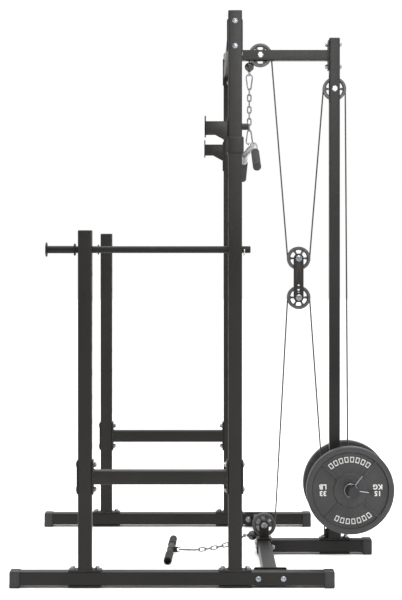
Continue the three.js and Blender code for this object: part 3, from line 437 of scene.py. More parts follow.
class Piece:
    """Gathers shapes into one mesh and hands it over as one piece of the object."""

    def __init__(self, name, material):
        self.name = name
        self.material = material
        self.mesh = bmesh.new()
        self.uv = self.mesh.loops.layers.uv.new(ROUTE_UV)
        self.cutters = bmesh.new()

    def rings(self, rings, closed=False, cap=True, into=None):
        """Skins a list of equal rings of points."""
        mesh = into or self.mesh
        made = [[mesh.verts.new(point) for point in points] for points in rings]
        count = len(made[0])
        spans = list(zip(made, made[1:] + made[:1] if closed else made[1:]))
        for lower, upper in spans:
            for i in range(count):
                j = (i + 1) % count
                mesh.faces.new((lower[i], lower[j], upper[j], upper[i]))
        if cap and not closed:
            mesh.faces.new(list(reversed(made[0])))
            mesh.faces.new(made[-1])
        return made

    def lathe(self, profile, at, axis=Z, segments=32, loop=False, into=None, turn=0.0):
        """Turns [radius, height] corners about an axis; a closed loop, or ends that are capped flat."""
        matrix = Matrix.Translation(at) @ basis(axis)
        rings = []
        for radius, height in profile:
            ring = arc((0, 0), radius, turn, turn + 4 * QUARTER, segments)[:-1]
            rings.append([matrix @ Vector((u, v, height)) for u, v in ring])
        self.rings(rings, closed=loop, cap=not loop, into=into)

    def box(self, low, high, bevel, segments=2, matrix=None):
        """A block with rounded arrises."""
        made = add_cube(self.mesh, low, high, matrix)
        edges = list({edge for vert in made for edge in vert.link_edges})
        bmesh.ops.bevel(self.mesh, geom=edges, offset=bevel, segments=segments, affect="EDGES", profile=0.5)

    def square_tube(self, axis, centre, start, end, side=TUBE, corner=CORNER, wall=WALL, steps=6):
        """A hollow square tube whose ends are open, with softened end arrises."""
        matrix = Matrix.Translation(centre) @ ALONG[axis]
        lip = 0.0004
        rings = []
        sections = ((lip, start), (0, start + lip), (0, end - lip), (lip, end), (wall, end), (wall, start))
        for inset, height in sections:
            width = side - 2 * inset
            outline = rounded(width, width, max(corner - inset, 0.0006), steps=steps)
            rings.append([matrix @ Vector((u, v, height)) for u, v in outline])
        self.rings(rings, closed=True)

    def sweep(self, points, radius, sides, closed=False):
        """Round stock along points."""
        points = [Vector(p) for p in points]
        count = len(points)
        normal = None
        rings = []
        lengths = [0.0]
        for a, b in zip(points, points[1:]):
            lengths.append(lengths[-1] + (b - a).length)
        for i, point in enumerate(points):
            if closed:
                tangent = (points[(i + 1) % count] - points[i - 1]).normalized()
            else:
                before = points[max(i - 1, 0)]
                after = points[min(i + 1, count - 1)]
                tangent = ((after - point).normalized() + (point - before).normalized()).normalized()
            if normal is None:
                normal = tangent.orthogonal().normalized()
                normal = (Y - tangent * Y.dot(tangent)).normalized() if abs(tangent.dot(Y)) < 0.9 else normal
            normal = (normal - tangent * normal.dot(tangent)).normalized()
            side = tangent.cross(normal)
            rings.append([point + u * normal + v * side for u, v in circle(radius, steps=sides)])
        made = self.rings(rings, closed=closed)
        if not closed:
            self.lay_uv(made, lengths)

    def lay_uv(self, made, lengths):
        """Lays a UV map round and along a sweep, in turns and metres."""
        count = len(made[0])
        for row, (lower, upper) in enumerate(zip(made, made[1:])):
            for i in range(count):
                j = (i + 1) % count
                corners = {
                    lower[i]: (i / count, lengths[row]),
                    lower[j]: ((i + 1) / count, lengths[row]),
                    upper[j]: ((i + 1) / count, lengths[row + 1]),
                    upper[i]: (i / count, lengths[row + 1]),
                }
                face = self.mesh.faces.get(tuple(corners))
                for loop in face.loops:
                    loop[self.uv].uv = corners[loop.vert]

    def flat(self, outlines, thickness, matrix, bevel=0.0006):
        """A flat part cut from sheet: closed outlines of (u, v), the first outside, the rest holes."""
        curve = bpy.data.curves.new("outline", "CURVE")
        curve.dimensions = "2D"
        curve.fill_mode = "BOTH"
        curve.extrude = thickness / 2 - bevel
        curve.bevel_depth = bevel
        curve.bevel_resolution = 1
        curve.offset = -bevel
        for outline in outlines:
            spline = curve.splines.new("POLY")
            spline.points.add(len(outline) - 1)
            for point, (u, v) in zip(spline.points, outline):
                point.co = (u, v, 0, 1)
            spline.use_cyclic_u = True
        self.add_curve(curve, matrix)

    def add_curve(self, curve, matrix):
        """Adds the solid shape of a curve or of a text, and clears it away."""
        holder = bpy.data.objects.new("outline", curve)
        made = bpy.data.meshes.new_from_object(holder)
        made.transform(matrix)
        self.mesh.from_mesh(made)
        bpy.data.objects.remove(holder)
        bpy.data.curves.remove(curve)
        bpy.data.meshes.remove(made)

    def drill(self, at, radius, length, axis, segments=28):
        """A round hole, cut when the piece is finished."""
        self.lathe([(radius, -length / 2), (radius, length / 2)], at, axis, segments, into=self.cutters)

    def carve(self, low, high):
        """A square-sided opening, cut when the piece is finished."""
        add_cube(self.cutters, low, high)

    def _object(self, name, source):
        bmesh.ops.remove_doubles(source, verts=source.verts, dist=1e-7)
        bmesh.ops.recalc_face_normals(source, faces=source.faces)
        mesh = bpy.data.meshes.new(name)
        source.to_mesh(mesh)
        source.free()
        thing = bpy.data.objects.new(name, mesh)
        bpy.context.collection.objects.link(thing)
        return thing

    def finish(self, body, replaces=None, smooth=35, blend=None):
        """Turns the gathered shapes into an object that moves with its body, or, given a blend, is left in
        place on no body.
        """
        thing = self._object(self.name, self.mesh)
        if self.cutters.verts:
            tool = self._object("cutter", self.cutters)
            cut = thing.modifiers.new("cut", "BOOLEAN")
            cut.operation = "DIFFERENCE"
            cut.solver = "EXACT"
            cut.object = tool
            graph = bpy.context.evaluated_depsgraph_get()
            result = bpy.data.meshes.new_from_object(thing.evaluated_get(graph))
            thing.modifiers.clear()
            thing.data = result
            bpy.data.objects.remove(tool)
        mesh = thing.data
        mesh.name = self.name
        mesh.shade_smooth()
        mesh.set_sharp_from_angle(angle=math.radians(smooth))
        mesh.materials.clear()
        material, slot = MATERIALS[self.material]
        mesh.materials.append(material)
        if blend is None:
            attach(thing, body)
        else:
            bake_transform(thing)
        if replaces:
            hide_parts(replaces)


def facing(axis, at):
    """Puts a flat part's sheet across an axis: its u runs along X (or Y) and its v upwards."""
    frames = {
        "x": Matrix(((0, 0, 1), (1, 0, 0), (0, 1, 0))),
        "y": Matrix(((1, 0, 0), (0, 0, -1), (0, 1, 0))),
        "z": Matrix.Identity(3),
    }
    return Matrix.Translation(at) @ frames[axis].to_4x4()


# --- fasteners

WASHER = [(BOLT_HOLE, 0.0), (0.0115, 0.0), (0.0122, 0.0004)]
WASHER += [(0.0122, 0.0014), (0.0116, 0.0018), (BOLT_HOLE, 0.0018)]


def add_washer(piece, at, axis):
    piece.lathe(WASHER, at, axis, 32, loop=True)


def add_hexagon(piece, at, axis, across=0.017, height=0.008, turn=0.3):
    """A hexagon with its corners turned off at both ends."""
    corner = across / math.sqrt(3)
    cut = 0.0009
    profile = [(corner * 0.90, 0.0), (corner, cut), (corner, height - cut), (corner * 0.90, height)]
    piece.lathe(profile, at, axis, 6, turn=turn)


def add_thread(piece, at, axis, length, radius=0.005, pitch=0.0015):
    """The end of a screw, as a stack of ridges with a chamfered tip."""
    profile = [(radius * 0.9, 0.0)]
    for step in range(int(length / pitch)):
        profile.append((radius, (step + 0.25) * pitch))
        profile.append((radius * 0.86, (step + 0.75) * pitch))
    profile.append((radius * 0.72, length))
    piece.lathe(profile, at, axis, 20)


def add_nut(piece, at, axis, stub=0.0015):
    """Washer, locking nut with its collar, and the bolt's end through it."""
    at = Vector(at)
    add_washer(piece, at, axis)
    add_hexagon(piece, at + axis * 0.0018, axis, height=0.0055)
    collar = [(0.0078, 0.0), (0.0078, 0.0022), (0.0068, 0.0036), (0.0052, 0.0036)]
    piece.lathe(collar, at + axis * 0.0072, axis, 24)
    add_thread(piece, at + axis * 0.0100, axis, stub)


def add_dome(piece, at, axis, radius=0.0103, height=0.0058):
    """A carriage bolt's head."""
    lip = 0.0008
    dome = arc((0, lip), radius, 0, QUARTER, 8, (height - lip) / radius)
    piece.lathe([(radius, 0.0), *dome[:-1], (0.0004, height)], at, axis, 32)


def bolt_pair(piece, centre, axis, across, backed=True, half=TUBE / 2, height=0.0058):
    """Two carriage bolts through a joint: heads along the axis, if backed on a plate, and nuts behind."""
    for s in (-1, 1):
        at = Vector(centre) + across * (s * BOLT_OFFSET)
        add_dome(piece, at + axis * (half + backed * PLATE), axis, height=height)
        add_nut(piece, at - axis * (half + PLATE + GAP), -axis)


def add_weld(piece, centre, side, radius=0.0026, corner=CORNER, axis="z"):
    """A rippled bead of weld round the foot of a square tube."""
    steps = 6
    beads = 26
    outline = [Vector((u, v, 0)) for u, v in rounded(side, side, corner, steps=steps)]
    path = []
    for index, point in enumerate(outline):
        path.append(point)
        if index % (steps + 1) == steps:
            following = outline[(index + 1) % len(outline)]
            path.extend(point.lerp(following, k / beads) for k in range(1, beads))
    place = Matrix.Translation(centre) @ ALONG[axis]
    rings = []
    for k, point in enumerate(path):
        across = (path[(k + 1) % len(path)] - path[k - 1]).normalized().cross(Z)
        bead = circle(radius * (0.86 + 0.14 * math.cos(1.9 * k)), steps=8)
        rings.append([place @ (point + u * across + v * Z) for u, v in bead])
    piece.rings(rings, closed=True)


# --- frame


def foot_cap(node, direction):
    """A ribbed plastic end cap that wraps the rail's end and carries it."""
    low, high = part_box(node)
    piece = Piece(node + "_moulding", "moulded_plastic")
    middle = (low + high) / 2
    size = high - low
    closed_end = low.x if direction > 0 else high.x
    # depth from the closed end, inset and corner radius of each section
    sections = ((0.0, 0.0045, 0.0040), (0.0009, 0.0018, 0.0030), (0.0026, 0.0004, 0.0026))
    sections += ((0.0050, 0.0, 0.0026), (0.0300, 0.0, 0.0026), (0.0308, 0.0007, 0.0024))
    sections += ((0.0330, 0.0007, 0.0024), (0.0338, 0.0, 0.0026), (0.0352, 0.0, 0.0026))
    sections += ((0.0360, 0.0008, 0.0024), (0.0360, 0.0028, 0.0032), (0.0300, 0.0030, 0.0030))
    rings = []
    for depth, inset, radius in sections:
        x = closed_end + direction * depth
        outline = rounded(size.y - 2 * inset, size.z - 2 * inset, radius)
        rings.append([(x, middle.y + u, middle.z + v) for u, v in outline])
    piece.rings(rings)
    tread = rounded(size.y - 0.012, 0.022, 0.003)
    for shift in (-0.0125, 0.0125):
        at = (closed_end + direction * 0.0003, middle.y, middle.z + shift)
        piece.flat([tread], 0.0016, facing("x", at), bevel=0.0005)
    piece.finish("frame", node)


def tube_plug(name, x, y, z, side):
    """A plastic insert in a tube's open top."""
    piece = Piece(name, "moulded_plastic")
    # rise, inset and corner radius of each section
    sections = ((-0.012, 0.0026, 0.003), (0.0, 0.0026, 0.003), (0.0, 0.0004, 0.0046))
    sections += ((0.0016, 0.0004, 0.0046), (0.0026, 0.0012, 0.004), (PLUG_HEIGHT, 0.0030, 0.003))
    rings = []
    for rise, inset, radius in sections:
        width = side - 2 * inset
        rings.append(level(rounded(width, width, radius), x, y, z + rise))
    piece.rings(rings)
    piece.finish("frame")


def end_plate(piece, axis, at, width, height):
    """A welded plate with a bolt hole near each end of its longer side."""
    steps = [s * BOLT_OFFSET for s in (-1, 1)]
    holes = [circle(BOLT_HOLE, (step, 0) if width > height else (0, step)) for step in steps]
    piece.flat([rounded(width, height, 0.006), *holes], PLATE, facing(axis, at))


def upright(node, kind, x, y):
    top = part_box(node)[1].z - PLUG_HEIGHT
    foot = RAIL_TOP + GAP
    piece = Piece(node + "_tube", "powder_coat")
    piece.square_tube("z", (x, y, 0), foot + PLATE, top)
    for step in range(LOWEST_HOLE, HIGHEST_HOLE[kind] + 1):
        piece.drill((x, y, ROD_Z + step * HOLE_PITCH), HOLE_RADIUS, TUBE * 1.2, X)
    piece.finish("frame", node)
    flange = Piece(node + "_flange", "powder_coat")
    end_plate(flange, "z", (x, y, foot + PLATE / 2), FLANGE, TUBE)
    add_weld(flange, (x, y, foot + PLATE), TUBE)
    flange.finish("frame")
    tube_plug(node + "_plug", x, y, top, TUBE)


def plated_tube(node, axis, x, y, z, ends=(1, -1)):
    """A level tube with a welded plate on one or both ends. The plates fill the CAD node's outline."""
    low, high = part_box(node)
    along = "xy".index(axis)
    direction = (X, Y)[along]
    centre = Vector((x, y, z))
    piece = Piece(node + "_tube", "powder_coat")
    start = low[along] + (PLATE if 1 in ends else 0)
    end = high[along] - (PLATE if -1 in ends else 0)
    piece.square_tube(axis, centre - direction * centre[along], start, end)
    for inward in ends:
        at = centre.copy()
        at[along] = (low if inward > 0 else high)[along]
        middle = at + direction * (inward * PLATE / 2)
        middle.z = (low.z + high.z) / 2
        end_plate(piece, axis, middle, high[1 - along] - low[1 - along], high.z - low.z)
        add_weld(piece, at + direction * (inward * PLATE), TUBE, axis=axis)
    piece.finish("frame", node)


def backing_plates():
    """Loose plates behind the joints, which the CAD leaves out."""
    piece = Piece("backing_plates", "powder_coat")
    lying = [rounded(FLANGE, TUBE, 0.006)]
    standing = [rounded(TUBE, FLANGE, 0.006)]
    reach = TUBE / 2 + PLATE / 2
    feet = [(x, sign * SIDE_Y) for _, sign in SIDES for x in (FRONT_X, REAR_X)] + [(TOWER_X, 0)]
    for x, y in feet:
        piece.flat(lying, PLATE - GAP, facing("z", (x, y, RAIL_Z - reach)))
    for _, sign in SIDES:
        for x in (FRONT_X - reach, REAR_X + reach):
            piece.flat(standing, PLATE - GAP, facing("x", (x, sign * SIDE_Y, SIDE_RAIL_Z)))
    piece.flat(lying, PLATE - GAP, facing("x", (CROSS_X - reach, 0, RAIL_Z)))
    piece.finish("frame")


def frame_bolts():
    """Carriage bolts, which the CAD leaves out."""
    under = {"axis": -Z, "across": X, "height": 0.0035}
    for side, sign in SIDES:
        y = sign * SIDE_Y
        base = Piece(f"{side}_base_bolts", "zinc")
        for x in (FRONT_X, REAR_X):
            bolt_pair(base, (x, y, RAIL_Z), **under)
        bolt_pair(base, (CROSS_X, y, RAIL_Z), sign * Y, X, backed=False)
        base.finish("frame")
        rail = Piece(f"{side}_side_rail_bolts", "zinc")
        bolt_pair(rail, (FRONT_X, y, SIDE_RAIL_Z), -X, Z)
        bolt_pair(rail, (REAR_X, y, SIDE_RAIL_Z), X, Z)
        rail.finish("frame")
        top = Piece(f"{side}_crossbeam_bolts", "zinc")
        bolt_pair(top, (REAR_X, y, BEAM_Z), sign * Y, Z, backed=False)
        top.finish("frame")
    tower = Piece("tower_bolts", "zinc")
    bolt_pair(tower, (TOWER_X, 0, BEAM_Z), X, Z, backed=False, half=POST / 2, height=0.009)
    bolt_pair(tower, (REAR_X, 0, BEAM_Z), -X, Y, backed=False)
    bolt_pair(tower, (TOWER_X, 0, RAIL_Z), **under)
    bolt_pair(tower, (CROSS_X, 0, RAIL_Z), -X, Y)
    tower.finish("frame")


# --- pulley tower

SLOT_HALF_WIDTH = PULLEY_HALF + 0.0025
SLOT_HALF_LENGTH = PULLEY_RADIUS + 0.008


def tower_post():
    low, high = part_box("tower_post")
    top = high.z - PLUG_HEIGHT
    piece = Piece("tower_post_tube", "powder_coat")
    piece.square_tube("z", (TOWER_X, 0, 0), low.z, top, POST, POST_CORNER)
    _, x, z, _ = PULLEYS["rear_top"]
    middle = Vector((x, 0, z))
    reach = Vector((POST, SLOT_HALF_WIDTH, SLOT_HALF_LENGTH))
    piece.carve(middle - reach, middle + reach)
    piece.finish("frame", "tower_post")
    tube_plug("tower_post_plug", TOWER_X, 0, top, POST)


def lat_beam():
    low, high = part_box("lat_beam")
    piece = Piece("lat_beam_tube", "powder_coat")
    piece.square_tube("x", (0, 0, BEAM_Z), low.x + PLATE, high.x - PLATE, POST, POST_CORNER)
    _, x, _, _ = PULLEYS["front_top"]
    reach = Vector((SLOT_HALF_LENGTH, SLOT_HALF_WIDTH, POST))
    middle = Vector((x, 0, BEAM_Z))
    piece.carve(middle - reach, middle + reach)
    piece.finish("frame", "lat_beam")
    plates = Piece("lat_beam_plates", "powder_coat")
    end_plate(plates, "x", (low.x + PLATE / 2, 0, BEAM_Z), FLANGE, TUBE)
    end_plate(plates, "x", (high.x - PLATE / 2, 0, BEAM_Z), TUBE, FLANGE)
    for at, inward in ((low.x, 1), (high.x, -1)):
        add_weld(plates, (at + inward * PLATE, 0, BEAM_Z), POST, corner=POST_CORNER, axis="x")
    plates.finish("frame")


def tower_foot():
    low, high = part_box("tower_foot")
    plate_top = low.z + PLATE
    piece = Piece("tower_foot_sleeve", "powder_coat")
    piece.square_tube("z", (TOWER_X, 0, 0), plate_top, high.z, wall=0.0035)
    end_plate(piece, "z", (TOWER_X, 0, low.z + PLATE / 2), FLANGE, TUBE)
    add_weld(piece, (TOWER_X, 0, plate_top), TUBE)
    back = TOWER_X - TUBE / 2 + 0.0005
    top = ANCHOR_Z + 0.008
    reach = 0.007
    tab = [(back, plate_top), (back, top)]
    tab += arc((ANCHOR_X, top - reach), reach, QUARTER, 2 * QUARTER, 8)
    tab.append((ANCHOR_X - reach, plate_top))
    piece.flat([tab, circle(0.004, (ANCHOR_X, ANCHOR_Z), 16)], 0.006, facing("y", (0, 0, 0)))
    piece.finish("frame", "tower_foot")


def bumper():
    """A ribbed rubber block between the carriage and the foot sleeve."""
    low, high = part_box("carriage_bumper")
    piece = Piece("carriage_bumper_block", "rubber")
    size = high - low
    steps = 12
    rings = []
    for step in range(steps + 1):
        share = step / steps
        swell = 0.0012 * abs(math.sin(share * 3 * math.pi))
        inset = 0.0016 - swell if 0 < step < steps else 0.0024
        outline = rounded(size.x - 2 * inset, size.y - 2 * inset, 0.006)
        rings.append(level(outline, TOWER_X, 0, low.z + share * size.z))
    inner = rounded(POST + 0.001, POST + 0.001, 0.004)
    rings += [level(inner, TOWER_X, 0, z) for z in (high.z, low.z)]
    piece.rings(rings, closed=True)
    piece.finish("frame", "carriage_bumper")


def low_bracket():
    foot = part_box("low_pulley_bracket")[0].z + PLATE
    piece = Piece("low_bracket_cheeks", "powder_coat")
    _, x, z, _ = PULLEYS["low"]
    left, right = x - STRAP_HALF, x + STRAP_HALF
    piece.flat([rounded(TUBE, TUBE, 0.004)], PLATE, facing("z", (x, 0, foot - PLATE / 2)))
    cheek = [(left, foot), *arc((x, z), STRAP_HALF, 2 * QUARTER, 0, 16), (right, foot)]
    for y in (-0.0165, 0.0165):
        piece.flat([cheek, circle(AXLE_HOLE, (x, z))], PLATE, facing("y", (0, y, 0)))
        piece.sweep([(left, y * 1.15, foot), (right, y * 1.15, foot)], 0.0018, 8)
    piece.finish("frame", "low_pulley_bracket")


def floating_straps():
    _, x, upper, _ = PULLEYS["upper_floating"]
    _, _, lower, _ = PULLEYS["lower_floating"]
    strap = arc((x, upper), STRAP_HALF, 0, 2 * QUARTER, 16)
    strap += arc((x, lower), STRAP_HALF, 2 * QUARTER, 4 * QUARTER, 16)
    heights = [upper, lower, lower + 0.017, lower + 0.032, lower + 0.047]
    holes = [circle(AXLE_HOLE, (x, z)) for z in heights]
    for side, sign in SIDES:
        piece = Piece(f"{side}_floating_strap_plate", "powder_coat")
        piece.flat([strap, *holes], 0.004, facing("y", (0, sign * 0.016, 0)))
        piece.finish("floating_bracket", f"{side}_floating_strap")


# --- pulleys

SPOKES = 6
SLOT_SPAN = math.radians(42)


def spoke_slot(index, inner=0.0195, outer=0.0335, steps=8, fillet=0.0022):
    """An arc-shaped window between two spokes, with rounded corners."""
    start = 4 * QUARTER * index / SPOKES + math.radians(9)
    end = start + SLOT_SPAN
    outline = []
    for radius, first, last, side in ((outer, start, end, 1), (inner, end, start, -1)):
        trim = side * fillet / radius
        corners = arc((0, 0), radius - side * fillet, first, last, 1)
        outline += [corners[0], *arc((0, 0), radius, first + trim, last - trim, steps), corners[1]]
    return outline


def pulley(name):
    body, x, z, _ = PULLEYS[name]
    at = Vector((x, 0, z))
    piece = Piece(f"{name}_pulley_wheel", "pulley_nylon")
    web = [circle(0.0372, steps=64), circle(0.0092, steps=32)]
    web += [spoke_slot(index) for index in range(SPOKES)]
    piece.flat(web, 0.008, facing("y", at), bevel=0.0009)
    round_groove = 0.0031
    seat = (WRAP_RADIUS - CABLE_RADIUS + round_groove, 0)
    flank = [(0.0365, -0.0040), (0.0365, -0.0096), (0.0374, -0.0108), (0.0388, -PULLEY_HALF)]
    flank += [(0.0458, -PULLEY_HALF), (PULLEY_RADIUS, -0.0098), (PULLEY_RADIUS, -0.0086)]
    other = [(radius, -height) for radius, height in reversed(flank)]
    groove = arc(seat, round_groove, -QUARTER, -3 * QUARTER, 8)
    piece.lathe(flank + groove + other, at, Y, 96, loop=True)
    hub = [(0.0088, -0.0100), (0.0150, -0.0100), (0.0158, -0.0092), (0.0166, -0.0038)]
    piece.lathe(mirrored(hub), at, Y, 48, loop=True)
    piece.finish(body, f"{name}_pulley", smooth=40)
    bearing = Piece(f"{name}_pulley_bearing", "zinc")
    ring = [(0.0057, -0.0125), (0.0078, -0.0125), (0.0078, -0.0104), (0.0088, -0.0104)]
    bearing.lathe(mirrored(ring), at, Y, 36, loop=True)
    bearing.finish(body)


def axle(name, body):
    _, x, z, half = PULLEYS[name]
    piece = Piece(f"{name}_axle_bolt", "zinc")
    piece.lathe([(AXLE_RADIUS, -half), (AXLE_RADIUS, half)], (x, 0, z), Y, 24)
    add_washer(piece, (x, -half, z), -Y)
    add_hexagon(piece, (x, -half - 0.0018, z), -Y, across=0.018, height=0.0062, turn=0.15)
    piece.lathe([(0.0074, 0), (0.0070, 0.0007)], (x, -half - 0.0080, z), -Y, 24)
    add_nut(piece, (x, half, z), Y, stub=0.003)
    piece.finish(body, f"{name}_axle")


# --- cables

ANCHOR_X = 0.464
ANCHOR_Z = 0.102
CABLE_SIDES = 14


def in_plane(x, z):
    return Vector((x, 0, z))


def wrap(name, start, end, steps=28):
    """Points round a pulley between two angles in degrees, on the cable's centre line."""
    _, x, z, _ = PULLEYS[name]
    points = arc((x, z), WRAP_RADIUS, math.radians(start), math.radians(end), steps)
    return [in_plane(u, v) for u, v in points]


def crossing(first, second):
    """The heading from one pulley to the next and the angle from it at which a crossing cable leaves."""
    _, x0, z0, _ = PULLEYS[first]
    _, x1, z1, _ = PULLEYS[second]
    heading = math.degrees(math.atan2(z1 - z0, x1 - x0))
    lean = math.degrees(math.acos(2 * WRAP_RADIUS / math.hypot(x1 - x0, z1 - z0)))
    return heading, lean


def cable(name, points, body, replaces=None, blend=None):
    piece = Piece(name, "cable_jacket")
    piece.sweep(points, CABLE_RADIUS, CABLE_SIDES)
    piece.finish(body, replaces, smooth=60, blend=blend)


def leg(name, start, end, moving, replaces=None):
    """A straight stretch from a fixed point to one that moves with a body; the stretch itself is left on no
    body.
    """
    cable(name, [start, end], None, replaces, blend=("frame", moving, start, end))


def cables():
    down_heading, down_lean = crossing("front_top", "upper_floating")
    up_heading, up_lean = crossing("upper_floating", "rear_top")
    front = wrap("front_top", 180, down_heading + down_lean)
    under = wrap("upper_floating", down_heading + down_lean + 180, up_heading - up_lean + 360)
    rear = wrap("rear_top", up_heading + 180 - up_lean, 0)
    cable("top_cable_front_wrap", front, "frame", "top_cable")
    cable("top_cable_floating_wrap", under, "floating_bracket")
    cable("top_cable_rear_wrap", rear, "frame")
    leg("top_cable_front_leg", front[-1], under[0], "floating_bracket")
    leg("top_cable_rear_leg", rear[0], under[-1], "floating_bracket")

    low_heading, low_lean = crossing("low", "lower_floating")
    low = wrap("low", 270, 360 + low_heading - low_lean, 16)
    _, x, z, _ = PULLEYS["lower_floating"]
    anchor = in_plane(ANCHOR_X, ANCHOR_Z + 0.030)
    heading = math.degrees(math.atan2(anchor.z - z, anchor.x - x))
    lean = math.degrees(math.acos(WRAP_RADIUS / math.hypot(anchor.x - x, anchor.z - z)))
    over = wrap("lower_floating", low_heading + 180 - low_lean, heading + lean)
    cable("low_cable_wrap", low, "frame", "low_cable")
    cable("low_cable_floating_wrap", over, "floating_bracket")
    leg("low_cable_front_leg", low[-1], over[0], "floating_bracket")
    leg("low_cable_rear_leg", anchor, over[-1], "floating_bracket")

    leg("lat_cable_leg", front[0], in_plane(LAT_X, LAT_BALL_Z + BALL_RADIUS), "lat_line", "lat_cable_run")
    leg("row_cable_leg", low[0], in_plane(ROW_BALL_X + BALL_RADIUS, ROW_LINE_Z), "row_line", "row_cable_run")
    leg("lift_cable_leg", rear[-1], in_plane(HORN_X, EYE_TOP + 0.026), "carriage", "lift_cable_run")


def cable_end(name, body, eye, length):
    """The cable's looped end: a crimped sleeve above a loop through an eye."""
    eye = Vector(eye)
    across = Z.cross(Y)
    width = 0.0055
    top = eye + Z * (length - 0.014)
    shoulders = [eye + across * u + Z * 0.003 for u in (width, -width)]
    turn = [eye + across * u - Z * v for u, v in arc((0, 0), width, 0, 2 * QUARTER, 12)]
    loop = Piece(name + "_loop", "cable_jacket")
    route = [top, shoulders[0], *turn, shoulders[1], top + across * 0.0008]
    loop.sweep(route, CABLE_RADIUS * 0.9, 12)
    loop.finish(body, smooth=60)
    sleeve = Piece(name + "_ferrule", "zinc")
    profile = [(0.0026, 0.0), (0.0045, 0.0004), (0.0049, 0.0016), (0.0044, 0.005), (0.0049, 0.009)]
    profile += [(0.0044, 0.013), (0.0049, 0.0165), (0.0045, 0.0178), (0.0026, 0.018)]
    sleeve.lathe(profile, eye + Z * (length - 0.018), Z, 24)
    sleeve.finish(body)


def ball_stop(name, body, centre, towards):
    """A moulded ball with its parting line, and the eye that hangs from it."""
    centre = Vector(centre)
    piece = Piece(name + "_ball", "gloss_ball")
    profile = arc((0, 0), BALL_RADIUS, -QUARTER, QUARTER, 28)[1:-1]
    profile[len(profile) // 2] = (BALL_RADIUS + 0.00025, 0.0)
    piece.lathe(profile, centre, towards, 48)
    collar = [(0.0062, 0), (0.0062, 0.003), (0.0045, 0.0042)]
    piece.lathe(collar, centre + towards * (BALL_RADIUS - 0.0012), towards, 24)
    piece.finish(body, name, smooth=50)
    eye = Piece(name + "_eye", "zinc")
    middle = centre + towards * BALL_EYE
    radius = 0.0052
    eye.sweep([centre + towards * (BALL_RADIUS - 0.002), middle - towards * radius], 0.0022, 12)
    eye_side = Y.cross(towards)
    eye.sweep([middle + u * towards + v * eye_side for u, v in circle(radius)], 0.0021, 12, closed=True)
    eye.finish(body)


# --- chains and snap hooks

LINK_LENGTH = 0.034
LINK_WIDTH = 0.019
HOOK_LENGTH = 0.066
HOOK_WIDTH = 0.030
BITE = 0.0050


def drop(length):
    return length - 2 * WIRE_RADIUS - BITE


def loop_frame(at, towards, roll):
    """Local frame of a hanging loop: z against its hang, x across it."""
    turn = Vector((0, 0, -1)).rotation_difference(towards)
    return Matrix.Translation(at) @ turn.to_matrix().to_4x4() @ Matrix.Rotation(roll, 4, "Z")


def loop_path(length, top_width, bottom_width, steps=10):
    top = top_width / 2 - WIRE_RADIUS
    bottom = bottom_width / 2 - WIRE_RADIUS
    path = arc((0, -top - WIRE_RADIUS), top, 0, 2 * QUARTER, steps)
    path += arc((0, bottom + WIRE_RADIUS - length), bottom, 2 * QUARTER, 4 * QUARTER, steps)
    return [Vector((u, 0, v)) for u, v in path]


def add_link(piece, at, towards, roll):
    """One welded link, a little thicker at its weld."""
    place = loop_frame(at, towards, roll)
    path = [place @ p for p in loop_path(LINK_LENGTH, LINK_WIDTH, LINK_WIDTH)]
    piece.sweep(path, WIRE_RADIUS, 12, closed=True)
    weld = place @ Vector((LINK_WIDTH / 2 - WIRE_RADIUS, 0, -LINK_LENGTH / 2))
    axis = (place.to_3x3() @ Z).normalized()
    bead = [(0.0026, -0.002), (0.0030, -0.0010), (0.0031, 0), (0.0030, 0.0010), (0.0026, 0.002)]
    piece.lathe(bead, weld, axis, 12)


def add_snap_hook(piece, at, towards, roll, length, top_width, bottom_width):
    """A pear-shaped snap hook: a bent wire body and a sprung gate with its hinge and nose."""
    place = loop_frame(at, towards, roll)
    path = loop_path(length, top_width, bottom_width, 14)
    gate_top = path[0]
    gate_bottom = path[-1]
    body = [gate_bottom.lerp(gate_top, 0.12)] + list(reversed(path)) + [gate_bottom.lerp(gate_top, 0.90)]
    piece.sweep([place @ p for p in body], WIRE_RADIUS, 14)
    gate = [place @ gate_bottom.lerp(gate_top, t) for t in (0.06, 0.12, 0.86, 0.93)]
    piece.sweep(gate, WIRE_RADIUS * 1.18, 14)
    for share in (0.10, 0.89):
        centre = place @ gate_bottom.lerp(gate_top, share)
        axis = (place.to_3x3() @ Y).normalized()
        pin = [(0.0009, -0.0036), (0.0013, -0.0032), (0.0013, 0.0032), (0.0009, 0.0036)]
        piece.lathe(pin, centre, axis, 12)


LAT_LINKS = 7
LAT_BAR_Z = 1.618
LAT_EYE = 0.024
DOWN = Vector((0, 0, -1))


def lat_chain():
    piece = Piece("lat_chain_links", "chain_steel")
    z = LAT_BALL_Z - BALL_EYE + WIRE_RADIUS
    add_snap_hook(piece, in_plane(LAT_X, z), DOWN, 0.0, HOOK_LENGTH, HOOK_WIDTH, LINK_WIDTH)
    z -= drop(HOOK_LENGTH)
    for index in range(LAT_LINKS):
        add_link(piece, in_plane(LAT_X, z), DOWN, 0.0 if index % 2 else QUARTER)
        z -= drop(LINK_LENGTH)
    last = z - (LAT_BAR_Z + LAT_EYE) + WIRE_RADIUS
    add_snap_hook(piece, in_plane(LAT_X, z), DOWN, 0.0, last, LINK_WIDTH, HOOK_WIDTH)
    piece.finish("lat_line", "lat_chain", smooth=60)


ROW_LINKS = 9
ROW_BAR_X = -0.1585
ROW_BAR_Z = GRIP_RADIUS + 0.0002
ROW_EYE = 0.034
DROOP = 0.240
FLOOR_LINE = 0.013
ROW_BAR_YAW = math.radians(-1.85)


def row_chain_point(along):
    """The low chain droops from the ball stop to the floor and lies along it."""
    fall = min(along / DROOP, 1.0)
    z = FLOOR_LINE + (ROW_LINE_Z - FLOOR_LINE) * (1 - fall) ** 2
    return in_plane(ROW_BALL_X - BALL_EYE - along * (0.62 + 0.38 * fall), z)


